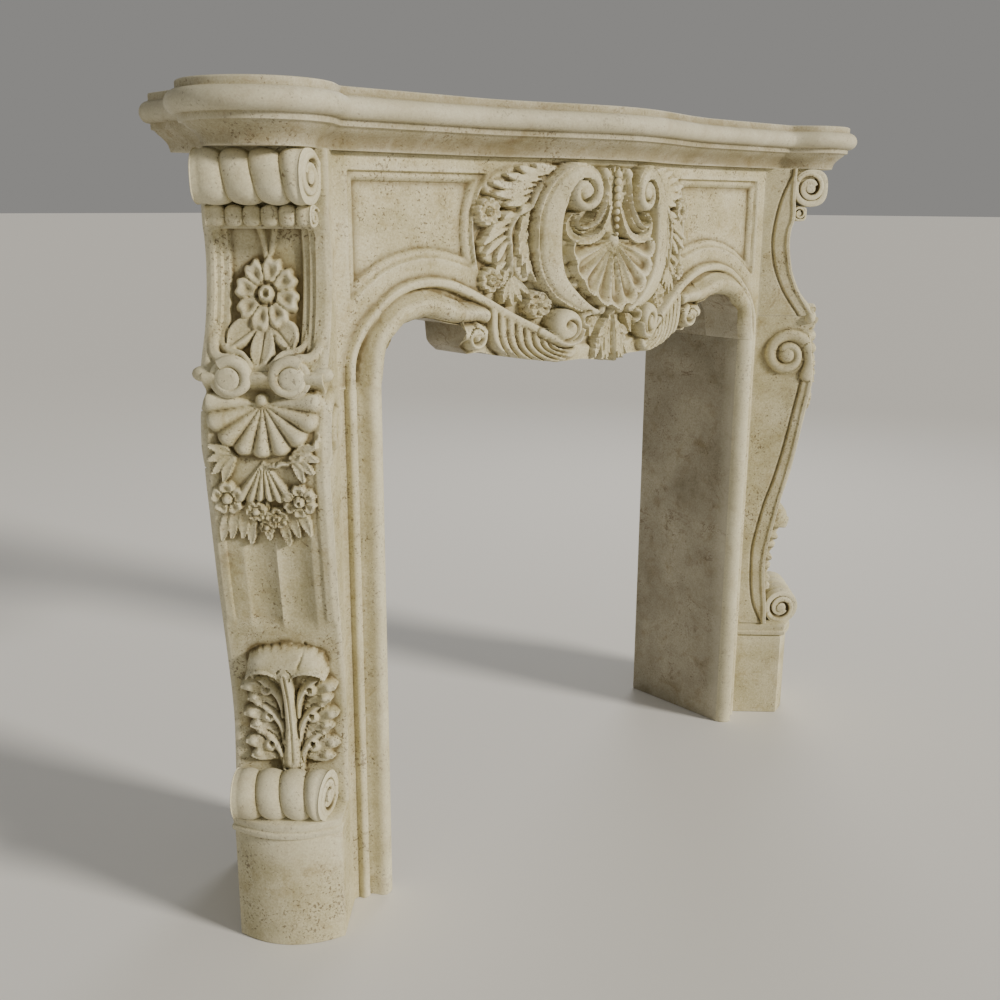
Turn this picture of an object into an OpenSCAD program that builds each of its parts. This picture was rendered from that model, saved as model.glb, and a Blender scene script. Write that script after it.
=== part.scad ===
// Carved stone fireplace mantel with canted scroll consoles and a shell cartouche.
// Millimetres. The floor is z = 0, the wall lies behind at +y, and x = 0 is the middle of the opening.

/* [Opening] */
// Clear width between the jambs
opening_w = 900; // [840:10:1300]
// Height of the joint where the frieze stands on the jambs
joint_h = 840; // [700:10:1100]
// Height of the frieze block above that joint
frieze_h = 332; // [320:2:420]
// Height of the arched shoulder above the joint
arch_rise = 94; // [70:1:110]

/* [Body] */
// Depth from the flat face of the frieze back to the wall
body_d = 235; // [180:5:400]
// Thickness of the frieze slab behind its flat face
frieze_t = 75; // [50:5:110]
// How far the middle of the frieze bows forward
bulge = 55; // [30:1:80]
// Half width of that bow
bulge_half = 300; // [260:5:330]
// Width of the edge moulding beside the opening
mould_w = 64; // [60:1:90]
// Flat margin of the frieze outside its moulding
margin = 13; // [8:1:30]
// Width of each block behind its console
block_w = 140; // [120:5:200]

/* [Shelf] */
// Thickness of the shelf
shelf_t = 80; // [60:1:110]
// How far the shelf's underside stands in front of the frieze
shelf_over = 13; // [8:1:30]
// How far the nose of the shelf moulding reaches past its underside
shelf_nose = 47; // [36:1:60]
// Radius of the shelf's underside over each console
bow_r = 72; // [60:1:90]
// How far the shelf's underside stands outside the block
shelf_side = 46; // [30:1:80]

/* [Consoles] */
// Angle that the consoles are turned outwards
cant = 45; // [40:1:50]
// Width across a console
console_w = 162; // [130:2:200]
// Gap between the moulding and the console's side
console_gap = 4; // [0:1:12]
// Height of the plinth below its groove
plinth_h = 182; // [120:2:260]
// Height of the plinth's cap
cap_h = 30; // [20:1:44]
// Reach of the plinth's corners in front of the face
plinth_out = 98; // [90:1:110]
// Extra reach of the plinth's bowed front in its middle
plinth_bow = 26; // [10:1:34]
// Depth of the carving on the consoles
carve = 10; // [6:1:14]

/* [Hidden] */

stone = "#d9cfb9";
stone_shade = "#cfc3aa";

half_open = opening_w / 2;
top_h = joint_h + frieze_h;
front_reach = bulge + shelf_over + shelf_nose;
face_y = (front_reach - body_d) / 2;
wall_y = face_y + body_d;
anchor_x = half_open + mould_w;
frieze_half = anchor_x + margin;
block_x = half_open + block_w;
console_x = console_gap + console_w / 2;
half_w = console_w / 2;
ledge_h = joint_h + 43;
bow_f = 77;
sink = 14; // how deep carving is rooted in its block
step = 3; // set-back of one plain face from the next
console_back = 60; // how far a console reaches back into its block

// Smooth curve through the points p, with n steps in each span
function cr(a, b, c, d, t) =
    0.5 * (2 * b + (c - a) * t + (2 * a - 5 * b + 4 * c - d) * t * t + (3 * b - a - 3 * c + d) * t * t * t);
function smooth(p, n) = let (m = len(p) - 1) concat(
    [for (i = [0:m - 1], k = [0:n - 1]) cr(p[max(i - 1, 0)], p[i], p[i + 1], p[min(i + 2, m)], k / n)],
    [p[m]]);
function unit(v) = v / norm(v);
function tangent(p, i) = unit(p[min(i + 1, len(p) - 1)] - p[max(i - 1, 0)]);
function sides(r, k, j, m) = [[r * k + j, r * k + m, r * k + k + m], [r * k + j, r * k + k + m, r * k + k + j]];

// Closed solid through equal rings of points, turned the right way out
module skin(rings) {
    k = len(rings[0]);
    n = len(rings);
    pts = [for (r = rings, p = r) p];
    walls = [for (i = [0:n - 2], j = [0:k - 1]) each sides(i, k, j, (j + 1) % k)];
    ends = [for (j = [1:k - 2]) each [[0, j + 1, j], [n * k - k, n * k - k + j, n * k - k + j + 1]]];
    solid(pts, concat(walls, ends));
}

module solid(pts, faces) {
    v = [for (f = faces) cross(pts[f[0]], pts[f[1]]) * pts[f[2]]];
    outward = v * [for (f = v) 1] > 0;
    polyhedron(points = pts, faces = outward ? [for (f = faces) [f[2], f[1], f[0]]] : faces);
}

// ---- faces that carry carving: 0 the frieze, 1 the lower console, 2 the corbel

function bump(x) = 0.5 + 0.5 * cos(180 * min(abs(x), bulge_half) / bulge_half);
function front_y(x) = face_y - bulge * bump(x);

// Reach of the lower console in front of the face, by height above the plinth's cap
leg_base = plinth_h + cap_h;
leg_h = ledge_h - leg_base;
leg_shape = [[0, 96], [0.06, 80], [0.12, 62], [0.19, 56], [0.26, 61], [0.34, 73], [0.43, 84], [0.52, 100],
    [0.60, 112], [0.70, 126], [0.77, 136], [0.82, 138], [0.88, 133], [0.93, 131], [0.96, 120]];
leg_line = [for (p = smooth(leg_shape, 1)) [leg_base + p[0] * leg_h, p[1]]];
function leg_f(z) = lookup(z, leg_line);

corbel_h = top_h - ledge_h;
corbel_shape = [[0, 115], [0.08, 103], [0.16, 86], [0.28, 70], [0.39, 63], [0.50, 59], [0.61, 61], [0.66, 66]];
corbel_line = [for (p = smooth(corbel_shape, 1)) [ledge_h + p[0] * corbel_h, p[1]]];
function corbel_f(z) = lookup(z, corbel_line);
corbel_foot = corbel_shape[0][1] + 2 * step;

function on(face, x, z, d) = face == 0 ? [x, front_y(x) - d, z]
    : [console_x + x, -d - (face == 1 ? leg_f(z) : corbel_f(z)), z];

// Raised strip along a path on a face: r is its half width at each end, h its height as a share of that
module strip(face, path, r, lift = 0, h = 1, k = 4) {
    n = len(path) - 1;
    skin([for (i = [0:n]) let (t = tangent(path, i), w = r[0] + (r[1] - r[0]) * i / n)
        [for (j = [0:k - 1]) let (a = 360 * (j + 0.5) / k, q = path[i] + w * cos(a) * [-t[1], t[0]])
            on(face, q[0], q[1], sin(a) < 0 ? -sink : lift + w * h * sin(a))]]);
}

// Leaf with a middle ridge, on a face
module leaf(face, path, w, h) {
    n = len(path) - 1;
    skin([for (i = [0:n]) let (t = tangent(path, i), s = i / n, v = w * (0.12 + sin(180 * pow(s, 0.8)))
            * (i == n ? 0.3 : 1) / 1.12, u = [-t[1], t[0]], a = path[i] + v * u, b = path[i] - v * u)
        [on(face, a[0], a[1], 0), on(face, path[i][0], path[i][1], h * (0.35 + 0.65 * sin(180 * s))),
            on(face, b[0], b[1], 0), on(face, path[i][0], path[i][1], -sink)]]);
}

function ray(c, a, r0, r1, n, bend = 0) =
    [for (i = [0:n]) let (s = i / n, g = a + bend * s) c + (r0 + (r1 - r0) * s) * [cos(g), sin(g)]];
function spiral(c, r, a, turns, n) =
    [for (i = [0:n]) let (s = i / n, g = a + 360 * turns * s) c + r * (1 - 0.72 * s) * [cos(g), sin(g)]];

// Scroll end: a winding strip round a raised eye
module volute(face, c, r, a, turns, lift) {
    strip(face, spiral(c, r * 0.8, a, turns, 9), [r * 0.26, r * 0.18], lift, 1.2);
    translate(on(face, c[0], c[1], 0)) rotate([90, 0, 0]) {
        translate([0, 0, -sink]) cylinder(r = r * 0.93, h = sink + lift, $fn = 24);
        cylinder(r = r * 0.3, h = lift + r * 0.3, $fn = 24);
    }
}

module flower(face, c, r, n, h, a0 = 90) {
    for (i = [0:n - 1]) leaf(face, ray(c, a0 + 360 * i / n, r * 0.16, r, 2), r * 2.6 / n, h);
    translate(on(face, c[0], c[1], -2)) rotate([90, 0, 0]) cylinder(r1 = r * 0.34, r2 = r * 0.2, h = h * 1.3, $fn = 24);
}

// Ribs fanned from c, their ends on an ellipse, with raised ends
module shell(face, c, rx, rz, a0, a1, n, lift) {
    for (i = [0:n - 1]) let (a = a0 + (a1 - a0) * (i + 0.5) / n, e = [rx * cos(a), rz * sin(a)],
        w = norm(e) * PI * abs(a1 - a0) / 360 / n)
        strip(face, [for (s = [0.1, 0.55, 1]) c + e * s], [w * 0.4, w * 1.3], lift, 0.8);
}

// ---- shelf

// Moulding section: reach past the underside, as a share of the nose, and height, as a share of the thickness
shelf_section = [[0, 0], [0.10, 0.04], [0.16, 0.12], [0.30, 0.24], [0.50, 0.33], [0.57, 0.36], [0.66, 0.37],
    [0.66, 0.47], [0.80, 0.48], [0.95, 0.55], [1, 0.65], [0.95, 0.76], [0.80, 0.85], [0.68, 0.86], [0.68, 1]];

function cant_xy(x, f) =
    [anchor_x + x * cos(cant) + f * sin(cant), face_y + x * sin(cant) - f * cos(cant)];

function shelf_ring(o) = let (
    r = bow_r + o,
    y0 = -shelf_over - o,
    edge = cant_xy(console_x - r, 0),
    join_x = edge[0] - (front_y(frieze_half) + y0 - edge[1]) * tan(cant),
    side_x = block_x + shelf_side + o,
    out = cant_xy(console_x + r, 0),
    side_y = out[1] + (out[0] - side_x) / tan(cant),
    front = [for (i = [0:9]) let (x = i / 9 * min(bulge_half, join_x - 60)) [x, front_y(x) + y0]],
    arc = [for (i = [0:12]) let (a = -90 + 180 * i / 12)
        cant_xy(console_x + r * sin(a), bow_f + r * cos(a))])
    concat(front, [[join_x, front_y(frieze_half) + y0]], arc, [[side_x, side_y], [side_x, wall_y]]);

module shelf() color(stone) {
    levels = [for (p = shelf_section) [shelf_ring(p[0] * shelf_nose), top_h + p[1] * shelf_t]];
    h = len(levels[0][0]);
    k = 2 * h;
    hub = cant_xy(console_x, bow_f);
    n = len(levels);
    pts = concat(
        [for (l = levels) each concat([for (p = l[0]) [p[0], p[1], l[1]]], [[0, wall_y, l[1]]],
            [for (i = [h - 1:-1:1]) [-l[0][i][0], l[0][i][1], l[1]]])],
        [for (z = [levels[0][1], levels[n - 1][1]], s = [1, -1]) [s * hub[0], hub[1], z]]);
    join = 10;
    walls = [for (i = [0:n - 2], j = [0:k - 1]) each sides(i, k, j, (j + 1) % k)];
    lids = [for (e = [0, 1], s = [0, 1]) let (b = e * (n - 1) * k, c = n * k + 2 * e + s)
        for (t = concat(
            [for (i = [0:join - 1]) [h, s ? (k - i) % k : i, s ? k - i - 1 : i + 1]],
            [[h, s ? k - join : join, -1]],
            [for (i = [join:h - 1]) [-1, s ? (k - i) % k : i, s ? k - i - 1 : i + 1]]))
        let (f = [for (q = t) q < 0 ? c : b + q]) (e == 1) == (s == 0) ? f : [f[2], f[1], f[0]]];
    solid(pts, concat(walls, lids));
}

// ---- frieze

function jz(z) = joint_h + z;
function sx(d) = half_open - d;

// Inner edge of the arch, from the joint over the shoulder to the end scroll
arch_edge = [[sx(0), jz(0)], [sx(3), jz(26)], [sx(12), jz(0.62 * arch_rise)], [sx(26), jz(0.77 * arch_rise)],
    [sx(47), jz(0.93 * arch_rise)], [sx(82), jz(arch_rise)], [sx(112), jz(0.95 * arch_rise)],
    [sx(134), jz(0.83 * arch_rise)]];
end_scroll = [274, jz(55)];
hang = [[292, jz(40)], [262, jz(34)], [225, jz(27)], [178, jz(18)], [110, jz(9)], [60, jz(10)], [0, jz(4)]];

bead_line = [[sx(-50), jz(0)], [sx(-48), jz(20)], [sx(-41), jz(60)], [sx(-25), jz(85)], [sx(-2), jz(108)],
    [sx(31), jz(130)], [sx(65), jz(144)], [sx(100), jz(148)], [sx(134), jz(144)], [sx(171), jz(131)],
    [240, jz(118)], [210, jz(104)], [170, jz(85)], [134, jz(68)]];

torus_section = [[0, -sink], [0, 5], [5, 16], [13, 23], [21, 25], [30, 20], [36, 10], [40, 5], [42, -sink]];
bead_section = [[-8, -sink], [-7, 5], [-3, 10], [3, 10], [7, 5], [8, -sink]];

// Moulding with a section of side steps and heights, along a path that starts square on the joint
module moulding(path, section) {
    skin([for (i = [0:len(path) - 1]) let (t = i == 0 ? [0, 1] : tangent(path, i))
        [for (s = section) let (q = path[i] + s[0] * [t[1], -t[0]]) on(0, -q[0], q[1], s[1])]]);
}

module frieze_slab() {
    rise = smooth(arch_edge, 3);
    outline = concat([[frieze_half, jz(0)]], rise, hang);
    both = concat(outline, [for (i = [len(outline) - 2:-1:0]) [-outline[i][0], outline[i][1]]],
        [[-frieze_half, top_h], [frieze_half, top_h]]);
    plan = [for (i = [-14:14]) let (x = i / 14 * bulge_half) [x, front_y(x)]];
    intersection() {
        translate([0, face_y + frieze_t, 0]) rotate([90, 0, 0])
            linear_extrude(frieze_t + bulge + 1) polygon(both);
        translate([0, 0, joint_h - 1]) linear_extrude(frieze_h + 2)
            polygon(concat([[-frieze_half, face_y]], plan,
                [[frieze_half, face_y], [frieze_half, face_y + frieze_t], [-frieze_half, face_y + frieze_t]]));
    }
}

// Sunk panel between the cartouche and the console, in two steps
module panel(inset, depth) {
    top = frieze_h - 26 - inset * 0.65;
    out = frieze_half - 33 - inset;
    foot = smooth([[sx(-44) - inset, jz(122 + inset * 2)], [sx(14), jz(163 + inset)], [sx(82), jz(182 + inset * 0.7)],
        [sx(150), jz(175 + inset * 0.7)], [262 + inset * 0.7, jz(160 + inset)]], 3);
    inner = smooth([[264 + inset * 0.7, jz(176 + inset)], [270 + inset * 0.7, jz(235)], [258 + inset * 0.4, jz(275)],
        [244 + inset * 0.4, jz(top)]], 3);
    translate([0, face_y + depth, 0]) rotate([90, 0, 0]) linear_extrude(40)
        polygon(concat(foot, inner, [[out, jz(top)]]));
}

module cartouche_half() {
    crown = smooth([[70, jz(258)], [52, jz(278)], [56, jz(303)], [82, jz(319)], [118, jz(316)], [150, jz(290)],
        [168, jz(250)], [172, jz(205)], [160, jz(160)], [128, jz(122)], [84, jz(98)], [40, jz(84)]], 1);
    strip(0, crown, [14, 22], 14, 1.2);
    volute(0, [77, jz(276)], 28, 200, 1.2, 26);
    volute(0, [90, jz(223)], 15, 20, 1.1, 18);
    strip(0, smooth([[62, jz(262)], [50, jz(240)], [62, jz(215)], [84, jz(208)]], 1), [9, 10], 12);
    volute(0, [110, jz(67)], 27, 300, 1.3, 24);
    translate([end_scroll[0], face_y + frieze_t, end_scroll[1]]) rotate([90, 0, 0])
        cylinder(r = 22, h = frieze_t + 24, $fn = 32);
    volute(0, end_scroll, 21, 120, 1.1, 26);
    flower(0, [258, jz(244)], 24, 6, 16);
    flower(0, [241, jz(144)], 24, 6, 16);
    flower(0, [165, jz(110)], 24, 6, 16);
    for (i = [0:4]) leaf(0, ray([128 + 20 * i, jz(316 - 8 * i)], 10 - 9 * i, 4, 46 - 4 * i, 3, -38), 10, 14);
    for (i = [0:4]) leaf(0, ray([200 + 7 * sin(40 * i), jz(270 - 34 * i)], -18 - 12 * i, 2, 50 - 3 * i, 3, 30), 9, 14);
    for (i = [0:4]) leaf(0, ray([226 - 25 * i, jz(72 - 9 * i)], 215 - 6 * i, -14, 30, 3, -50), 10, 20);
    for (i = [0:2]) leaf(0, ray([22 + 4 * i, jz(222)], 96 - 16 * i, 0, 84 - 14 * i, 3, 20), 7, 18);
}

module frieze() color(stone) union() {
    difference() {
        frieze_slab();
        for (m = [0, 1]) mirror([m, 0, 0]) {
            panel(0, 4);
            panel(23, 9);
        }
    }
    for (m = [0, 1]) mirror([m, 0, 0]) {
        mirror([1, 0, 0]) moulding(smooth(arch_edge, 2), torus_section);
        mirror([1, 0, 0]) moulding(smooth(bead_line, 1), bead_section);
        cartouche_half();
    }
    shell(0, [0, jz(201)], 98, 112, 198, 342, 11, 4);
    strip(0, [for (i = [0:12]) let (a = 196 + 148 * i / 12) [102 * cos(a), jz(201) + 118 * sin(a)]], [9, 9], 10);
    for (s = [-1, 0, 1]) leaf(0, ray([14 * s, jz(84)], 270 + 14 * s, 0, 76 - 10 * abs(s), 3), 17, 20);
    strip(0, [for (i = [0:5]) [0, jz(212 + 19 * i)]], [5, 5], 14);
}

// ---- console parts, drawn with x across and -y forward from the corner of the face

module canted(side) {
    mirror([side < 0 ? 1 : 0, 0, 0]) translate([anchor_x, face_y, 0]) rotate([0, 0, cant]) children();
}

// Prism across the console from an outline of reach and height
module across(w, outline) {
    translate([console_x - w / 2, 0, 0]) rotate([90, 0, 90]) linear_extrude(w)
        polygon([for (p = outline) [-p[0], p[1]]]);
}

// Roll across the console with n round lobes
module lobed_roll(w, f, z, r, n, swell, k = 10) {
    steps = 2 * n;
    skin([for (i = [0:steps]) let (x = console_x + w * (i / steps - 0.5), q = r + swell * abs(sin(180 * n * i / steps)))
        [for (j = [0:k - 1]) [x, -f - q * cos(360 * j / k), z + q * sin(360 * j / k)]]]);
}

// Spiral boss on both side faces of a console
module side_eyes(w, f, z, r, rise) {
    for (s = [-1, 1]) translate([console_x + s * w / 2, -f, z]) rotate([0, 90 * s, 0]) {
        translate([0, 0, -4]) cylinder(r = r, h = 4 + rise * 0.4, $fn = 32);
        translate([0, 0, -3]) cylinder(r = r * 0.6, h = 3 + rise, $fn = 32);
    }
}

// Room for the leg of the frieze, between two heights
module behind_face(low, high) {
    translate([0, face_y, low]) cube([frieze_half, body_d, high - low]);
}

function bowed_plan(w, out, back) = concat([[console_x - w, back]],
    [for (i = [-8:8]) [console_x + w * i / 8, -out - plinth_bow * (1 - i * i / 64)]], [[console_x + w, back]]);

// Plan of the block behind a console, to the wall, in the frame's own axes
module block_plan(x0, y0) {
    tail = cant_xy(console_x + half_w - step, 0);
    meet_y = tail[1] + (tail[0] - block_x) / tan(cant);
    polygon([[x0, y0], [frieze_half + margin, y0], tail, [block_x, meet_y], [block_x, wall_y], [x0, wall_y]]);
}

module corbel(side) color(stone_shade) {
    body = concat([for (p = corbel_line) [p[1], p[0]]], [[88, top_h - 92], [122, top_h - 60], [122, top_h],
        [-90, top_h], [-90, ledge_h]]);
    roll_z = top_h - 36;
    small_z = top_h - 87;
    difference() {
        canted(side) union() {
            difference() {
                across(console_w, body);
                for (s = [0, 1]) skin([for (i = [0:8]) let (z = ledge_h + 8 + i / 8 * (corbel_h - 116))
                    [for (x = [-1, 1], d = x < 0 ? [carve, -60] : [-60, carve])
                        [console_x + x * (half_w - 20 - 10 * s), -corbel_f(z) + d - (d < 0 ? 0 : 5 * (1 - s)), z]]]);
            }
            lobed_roll(console_w - 24, 92, roll_z, 32, 4, 4);
            side_eyes(console_w - 24, 104, roll_z - 4, 28, 12);
            lobed_roll(console_w - 22, 84, small_z, 12, 6, 3, 8);
            flower(2, [4, ledge_h + 99], 42, 8, 12);
            for (s = [-1, 0, 1]) leaf(2, ray([4, ledge_h + 70], 270 + 42 * s, 6, 58, 3), 15, 10);
            strip(2, [for (i = [0:3]) [4, ledge_h + 136 + 16 * i]], [6, 6], -2);
            for (s = [-1, 1]) strip(2, [for (i = [0:8]) [s * (half_w - 9), ledge_h + 4 + i / 8 * (corbel_h - 106)]],
                [11, 11], -5);
        }
        mirror([side < 0 ? 1 : 0, 0, 0]) {
            behind_face(ledge_h - 1, top_h + 1);
            translate([0, face_y + frieze_t, ledge_h - 1]) cube([block_x, body_d, corbel_h + 2]);
        }
    }
}

module console(side) canted(side) {
    body = concat([for (p = leg_line) [p[1], p[0]]], [[128, ledge_h - 8], [128, ledge_h],
        [-console_back, ledge_h], [-console_back, leg_base - 2 * step]]);
    across(console_w, body);
    volute(1, [46, ledge_h - 8], 26, 60, 1.2, 14);
    volute(1, [-34, ledge_h - 8], 26, 120, -1.2, 14);
    shell(1, [4, ledge_h - 43], 66, 82, 192, 348, 9, 2);
    for (s = [-1, 1]) {
        for (i = [0:1]) leaf(1, ray([4 + 24 * s, ledge_h - 122 - 26 * i], 270 + s * (58 - 20 * i), 0, 46, 3), 12, 10);
        flower(1, [4 + 52 * s, ledge_h - 176], 21, 6, 10);
        leaf(1, ray([4 + 12 * s, ledge_h - 222], 270 + s * 34, 0, 44, 3), 13, 9);
    }
    flower(1, [4, ledge_h - 200], 18, 6, 9);
    for (i = [0:2]) for (s = [-1, 1])
        leaf(1, ray([4 + 8 * s, leg_base + 92 + 48 * i], 90 - s * 58, 0, 66 - 4 * i, 3, 26 * s), 17, 16);
    leaf(1, [for (i = [0:5]) [0, leg_base + 74 + 38 * i]], 24, 26);
    side_eyes(console_w, 70, ledge_h - 81, 30, 10);
    lobed_roll(console_w - 22, 102, leg_base + 41, 34, 4, 3);
    side_eyes(console_w - 22, 102, leg_base + 41, 30, 12);
}

module jamb_moulding() {
    section = concat(torus_section, [for (p = bead_section) [50 + p[0], p[1]]]);
    linear_extrude(joint_h) polygon([for (s = section) [half_open + s[0], face_y - s[1]]]);
}

module jamb(side) color(stone_shade) {
    union() {
        mirror([side < 0 ? 1 : 0, 0, 0]) {
            jamb_moulding();
            linear_extrude(joint_h) block_plan(half_open, face_y);
            intersection() {
                linear_extrude(ledge_h) block_plan(half_open, face_y);
                translate([frieze_half, face_y - 1, 0]) cube([300, body_d + 2, ledge_h]);
            }
            translate([half_open, face_y + frieze_t, 0]) cube([block_w, body_d - frieze_t, top_h]);
        }
        canted(side) {
            linear_extrude(plinth_h) polygon(bowed_plan(half_w, plinth_out, console_back - 2 * step));
            translate([0, 0, plinth_h - 1]) linear_extrude(2 * step)
                polygon(bowed_plan(half_w - step, plinth_out - step, console_back - 3 * step));
            translate([0, 0, plinth_h + step]) linear_extrude(cap_h - step)
                polygon(bowed_plan(half_w + 1, plinth_out + 2 * step, console_back - step));
        }
        difference() {
            console(side);
            mirror([side < 0 ? 1 : 0, 0, 0]) behind_face(joint_h, top_h);
            canted(side) translate([-sink, -corbel_foot, ledge_h]) cube([console_w + 3 * sink, body_d, corbel_h]);
        }
    }
}

shelf();
frieze();
corbel(-1);  // left_corbel
corbel(1);  // right_corbel
jamb(-1);  // left_jamb
jamb(1);  // right_jamb
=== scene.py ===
# Carved travertine fireplace mantel: canted scroll consoles, an arched frieze and a bowed shelf
import math

import bmesh
import bpy
import numpy as np
from mathutils import Matrix, Vector


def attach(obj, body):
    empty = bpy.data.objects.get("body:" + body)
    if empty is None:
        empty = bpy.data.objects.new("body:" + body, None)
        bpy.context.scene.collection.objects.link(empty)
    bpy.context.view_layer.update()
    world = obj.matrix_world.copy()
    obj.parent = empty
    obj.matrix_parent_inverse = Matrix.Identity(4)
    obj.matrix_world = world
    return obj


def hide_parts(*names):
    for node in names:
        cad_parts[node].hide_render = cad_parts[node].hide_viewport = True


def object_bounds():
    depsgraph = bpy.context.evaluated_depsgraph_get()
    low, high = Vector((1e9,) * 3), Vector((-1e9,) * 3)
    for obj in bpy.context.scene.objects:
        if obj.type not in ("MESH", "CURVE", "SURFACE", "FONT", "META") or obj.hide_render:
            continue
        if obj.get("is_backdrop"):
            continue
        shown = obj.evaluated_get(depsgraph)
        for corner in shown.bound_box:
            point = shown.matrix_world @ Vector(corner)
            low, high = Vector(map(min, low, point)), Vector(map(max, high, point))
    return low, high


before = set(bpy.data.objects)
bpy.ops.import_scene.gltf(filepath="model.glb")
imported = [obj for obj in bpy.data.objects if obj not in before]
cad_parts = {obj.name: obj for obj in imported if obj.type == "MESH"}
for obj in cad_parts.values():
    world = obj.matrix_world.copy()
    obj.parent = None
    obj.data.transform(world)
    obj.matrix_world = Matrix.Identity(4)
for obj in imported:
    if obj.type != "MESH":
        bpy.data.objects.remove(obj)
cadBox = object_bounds()
print("frame loaded")

# The fixed lines of the work, in mm, as they are in the blocks underneath
layout = {
    "opening": 900.0,
    "joint": 840.0,  # height of the joint where the frieze stands on the jambs
    "friezeHeight": 332.0,
    "facePlane": -60.0,
    "wall": 175.0,
    "slabBack": 15.0,
    "bow": 55.0,
    "bowHalf": 300.0,
    "cornerX": 514.0,  # where a console's own axes start on the face
    "friezeHalf": 527.0,
    "ledge": 883.0,
}
topZ = layout["joint"] + layout["friezeHeight"]
middle = 85.0  # middle of a console, measured across it from the corner
halfConsole = 81.0


def frontY(x):
    # The frieze bows forward in one long swell
    part = np.minimum(np.abs(x), layout["bowHalf"]) / layout["bowHalf"]
    return layout["facePlane"] - layout["bow"] * (0.5 + 0.5 * np.cos(math.pi * part))


def cantedPlace(side, across, reach, up):
    # From a console's own axes, turned 45 degrees, to the frame
    turn = math.sqrt(0.5)
    x = side * (layout["cornerX"] + (across + reach) * turn)
    y = layout["facePlane"] + (across - reach) * turn
    return np.stack(np.broadcast_arrays(x, y, up), -1)


def smoothPath(points, steps=8):
    # A soft curve through the points
    p = np.asarray(points, float)
    if len(p) < 3:
        t = np.linspace(0, 1, steps + 1)[:, None]
        return p[0] * (1 - t) + p[-1] * t
    ext = np.vstack([2 * p[0] - p[1], p, 2 * p[-1] - p[-2]])
    out = []
    for i in range(len(p) - 1):
        a, b, c, d = ext[i:i + 4]
        t = np.linspace(0, 1, steps, endpoint=False)[:, None]
        cubic = (-a + 3 * b - 3 * c + d) * t ** 3
        out.append(0.5 * (2 * b + (c - a) * t + (2 * a - 5 * b + 4 * c - d) * t ** 2 + cubic))
    return np.vstack(out + [p[-1:]])


def spiralPath(centre, outer, inner, start, turns):
    # Winds from the outer to the inner radius; turns below 0 wind clockwise
    k = np.linspace(0, 1, int(abs(turns) * 22) + 2)
    radius = outer * (inner / outer) ** k
    angle = math.radians(start) + 2 * math.pi * turns * k
    return np.stack([centre[0] + radius * np.cos(angle), centre[1] + radius * np.sin(angle)], 1)


def roundBar(x):
    return np.sqrt(np.clip(1 - x * x, 0, 1))


def flatBar(x):
    return np.clip(1 - x ** 4, 0, 1) ** 0.6


def scooped(x):
    # Hollow between two soft rims
    return (0.66 + 0.34 * np.abs(x) ** 2.2) * np.clip(1 - np.abs(x) ** 9, 0, 1) ** 0.5


def rimmed(x):
    # The wide band of a C-scroll: a thin rim outside, a cut line, then a soft swell
    rim = np.exp(-((x + 0.88) / 0.10) ** 2)
    cut = np.exp(-((x + 0.68) / 0.10) ** 2)
    body = 0.86 + 0.10 * np.cos(2.2 * (x - 0.15)) - 0.16 * cut + 0.06 * rim
    return body * np.clip(1 - np.abs(x) ** 12, 0, 1) ** 0.5


def ribbed(x):
    # Two rims and a middle rib
    return (0.72 + 0.28 * np.cos(2 * math.pi * x)) * np.clip(1 - np.abs(x) ** 8, 0, 1) ** 0.5


def doubled(x):
    # One broad rib with a cut line down its middle
    return (1 - 0.13 * np.exp(-(x / 0.16) ** 2)) * np.clip(1 - np.abs(x) ** 3, 0, 1) ** 0.5


def softHollow(x):
    # A full, rounded finger with only a shallow dip
    return (0.80 + 0.20 * np.abs(x) ** 2) * np.clip(1 - np.abs(x) ** 6, 0, 1) ** 0.5


def ease(x):
    x = np.clip(x, 0, 1)
    return x * x * (3 - 2 * x)


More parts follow.
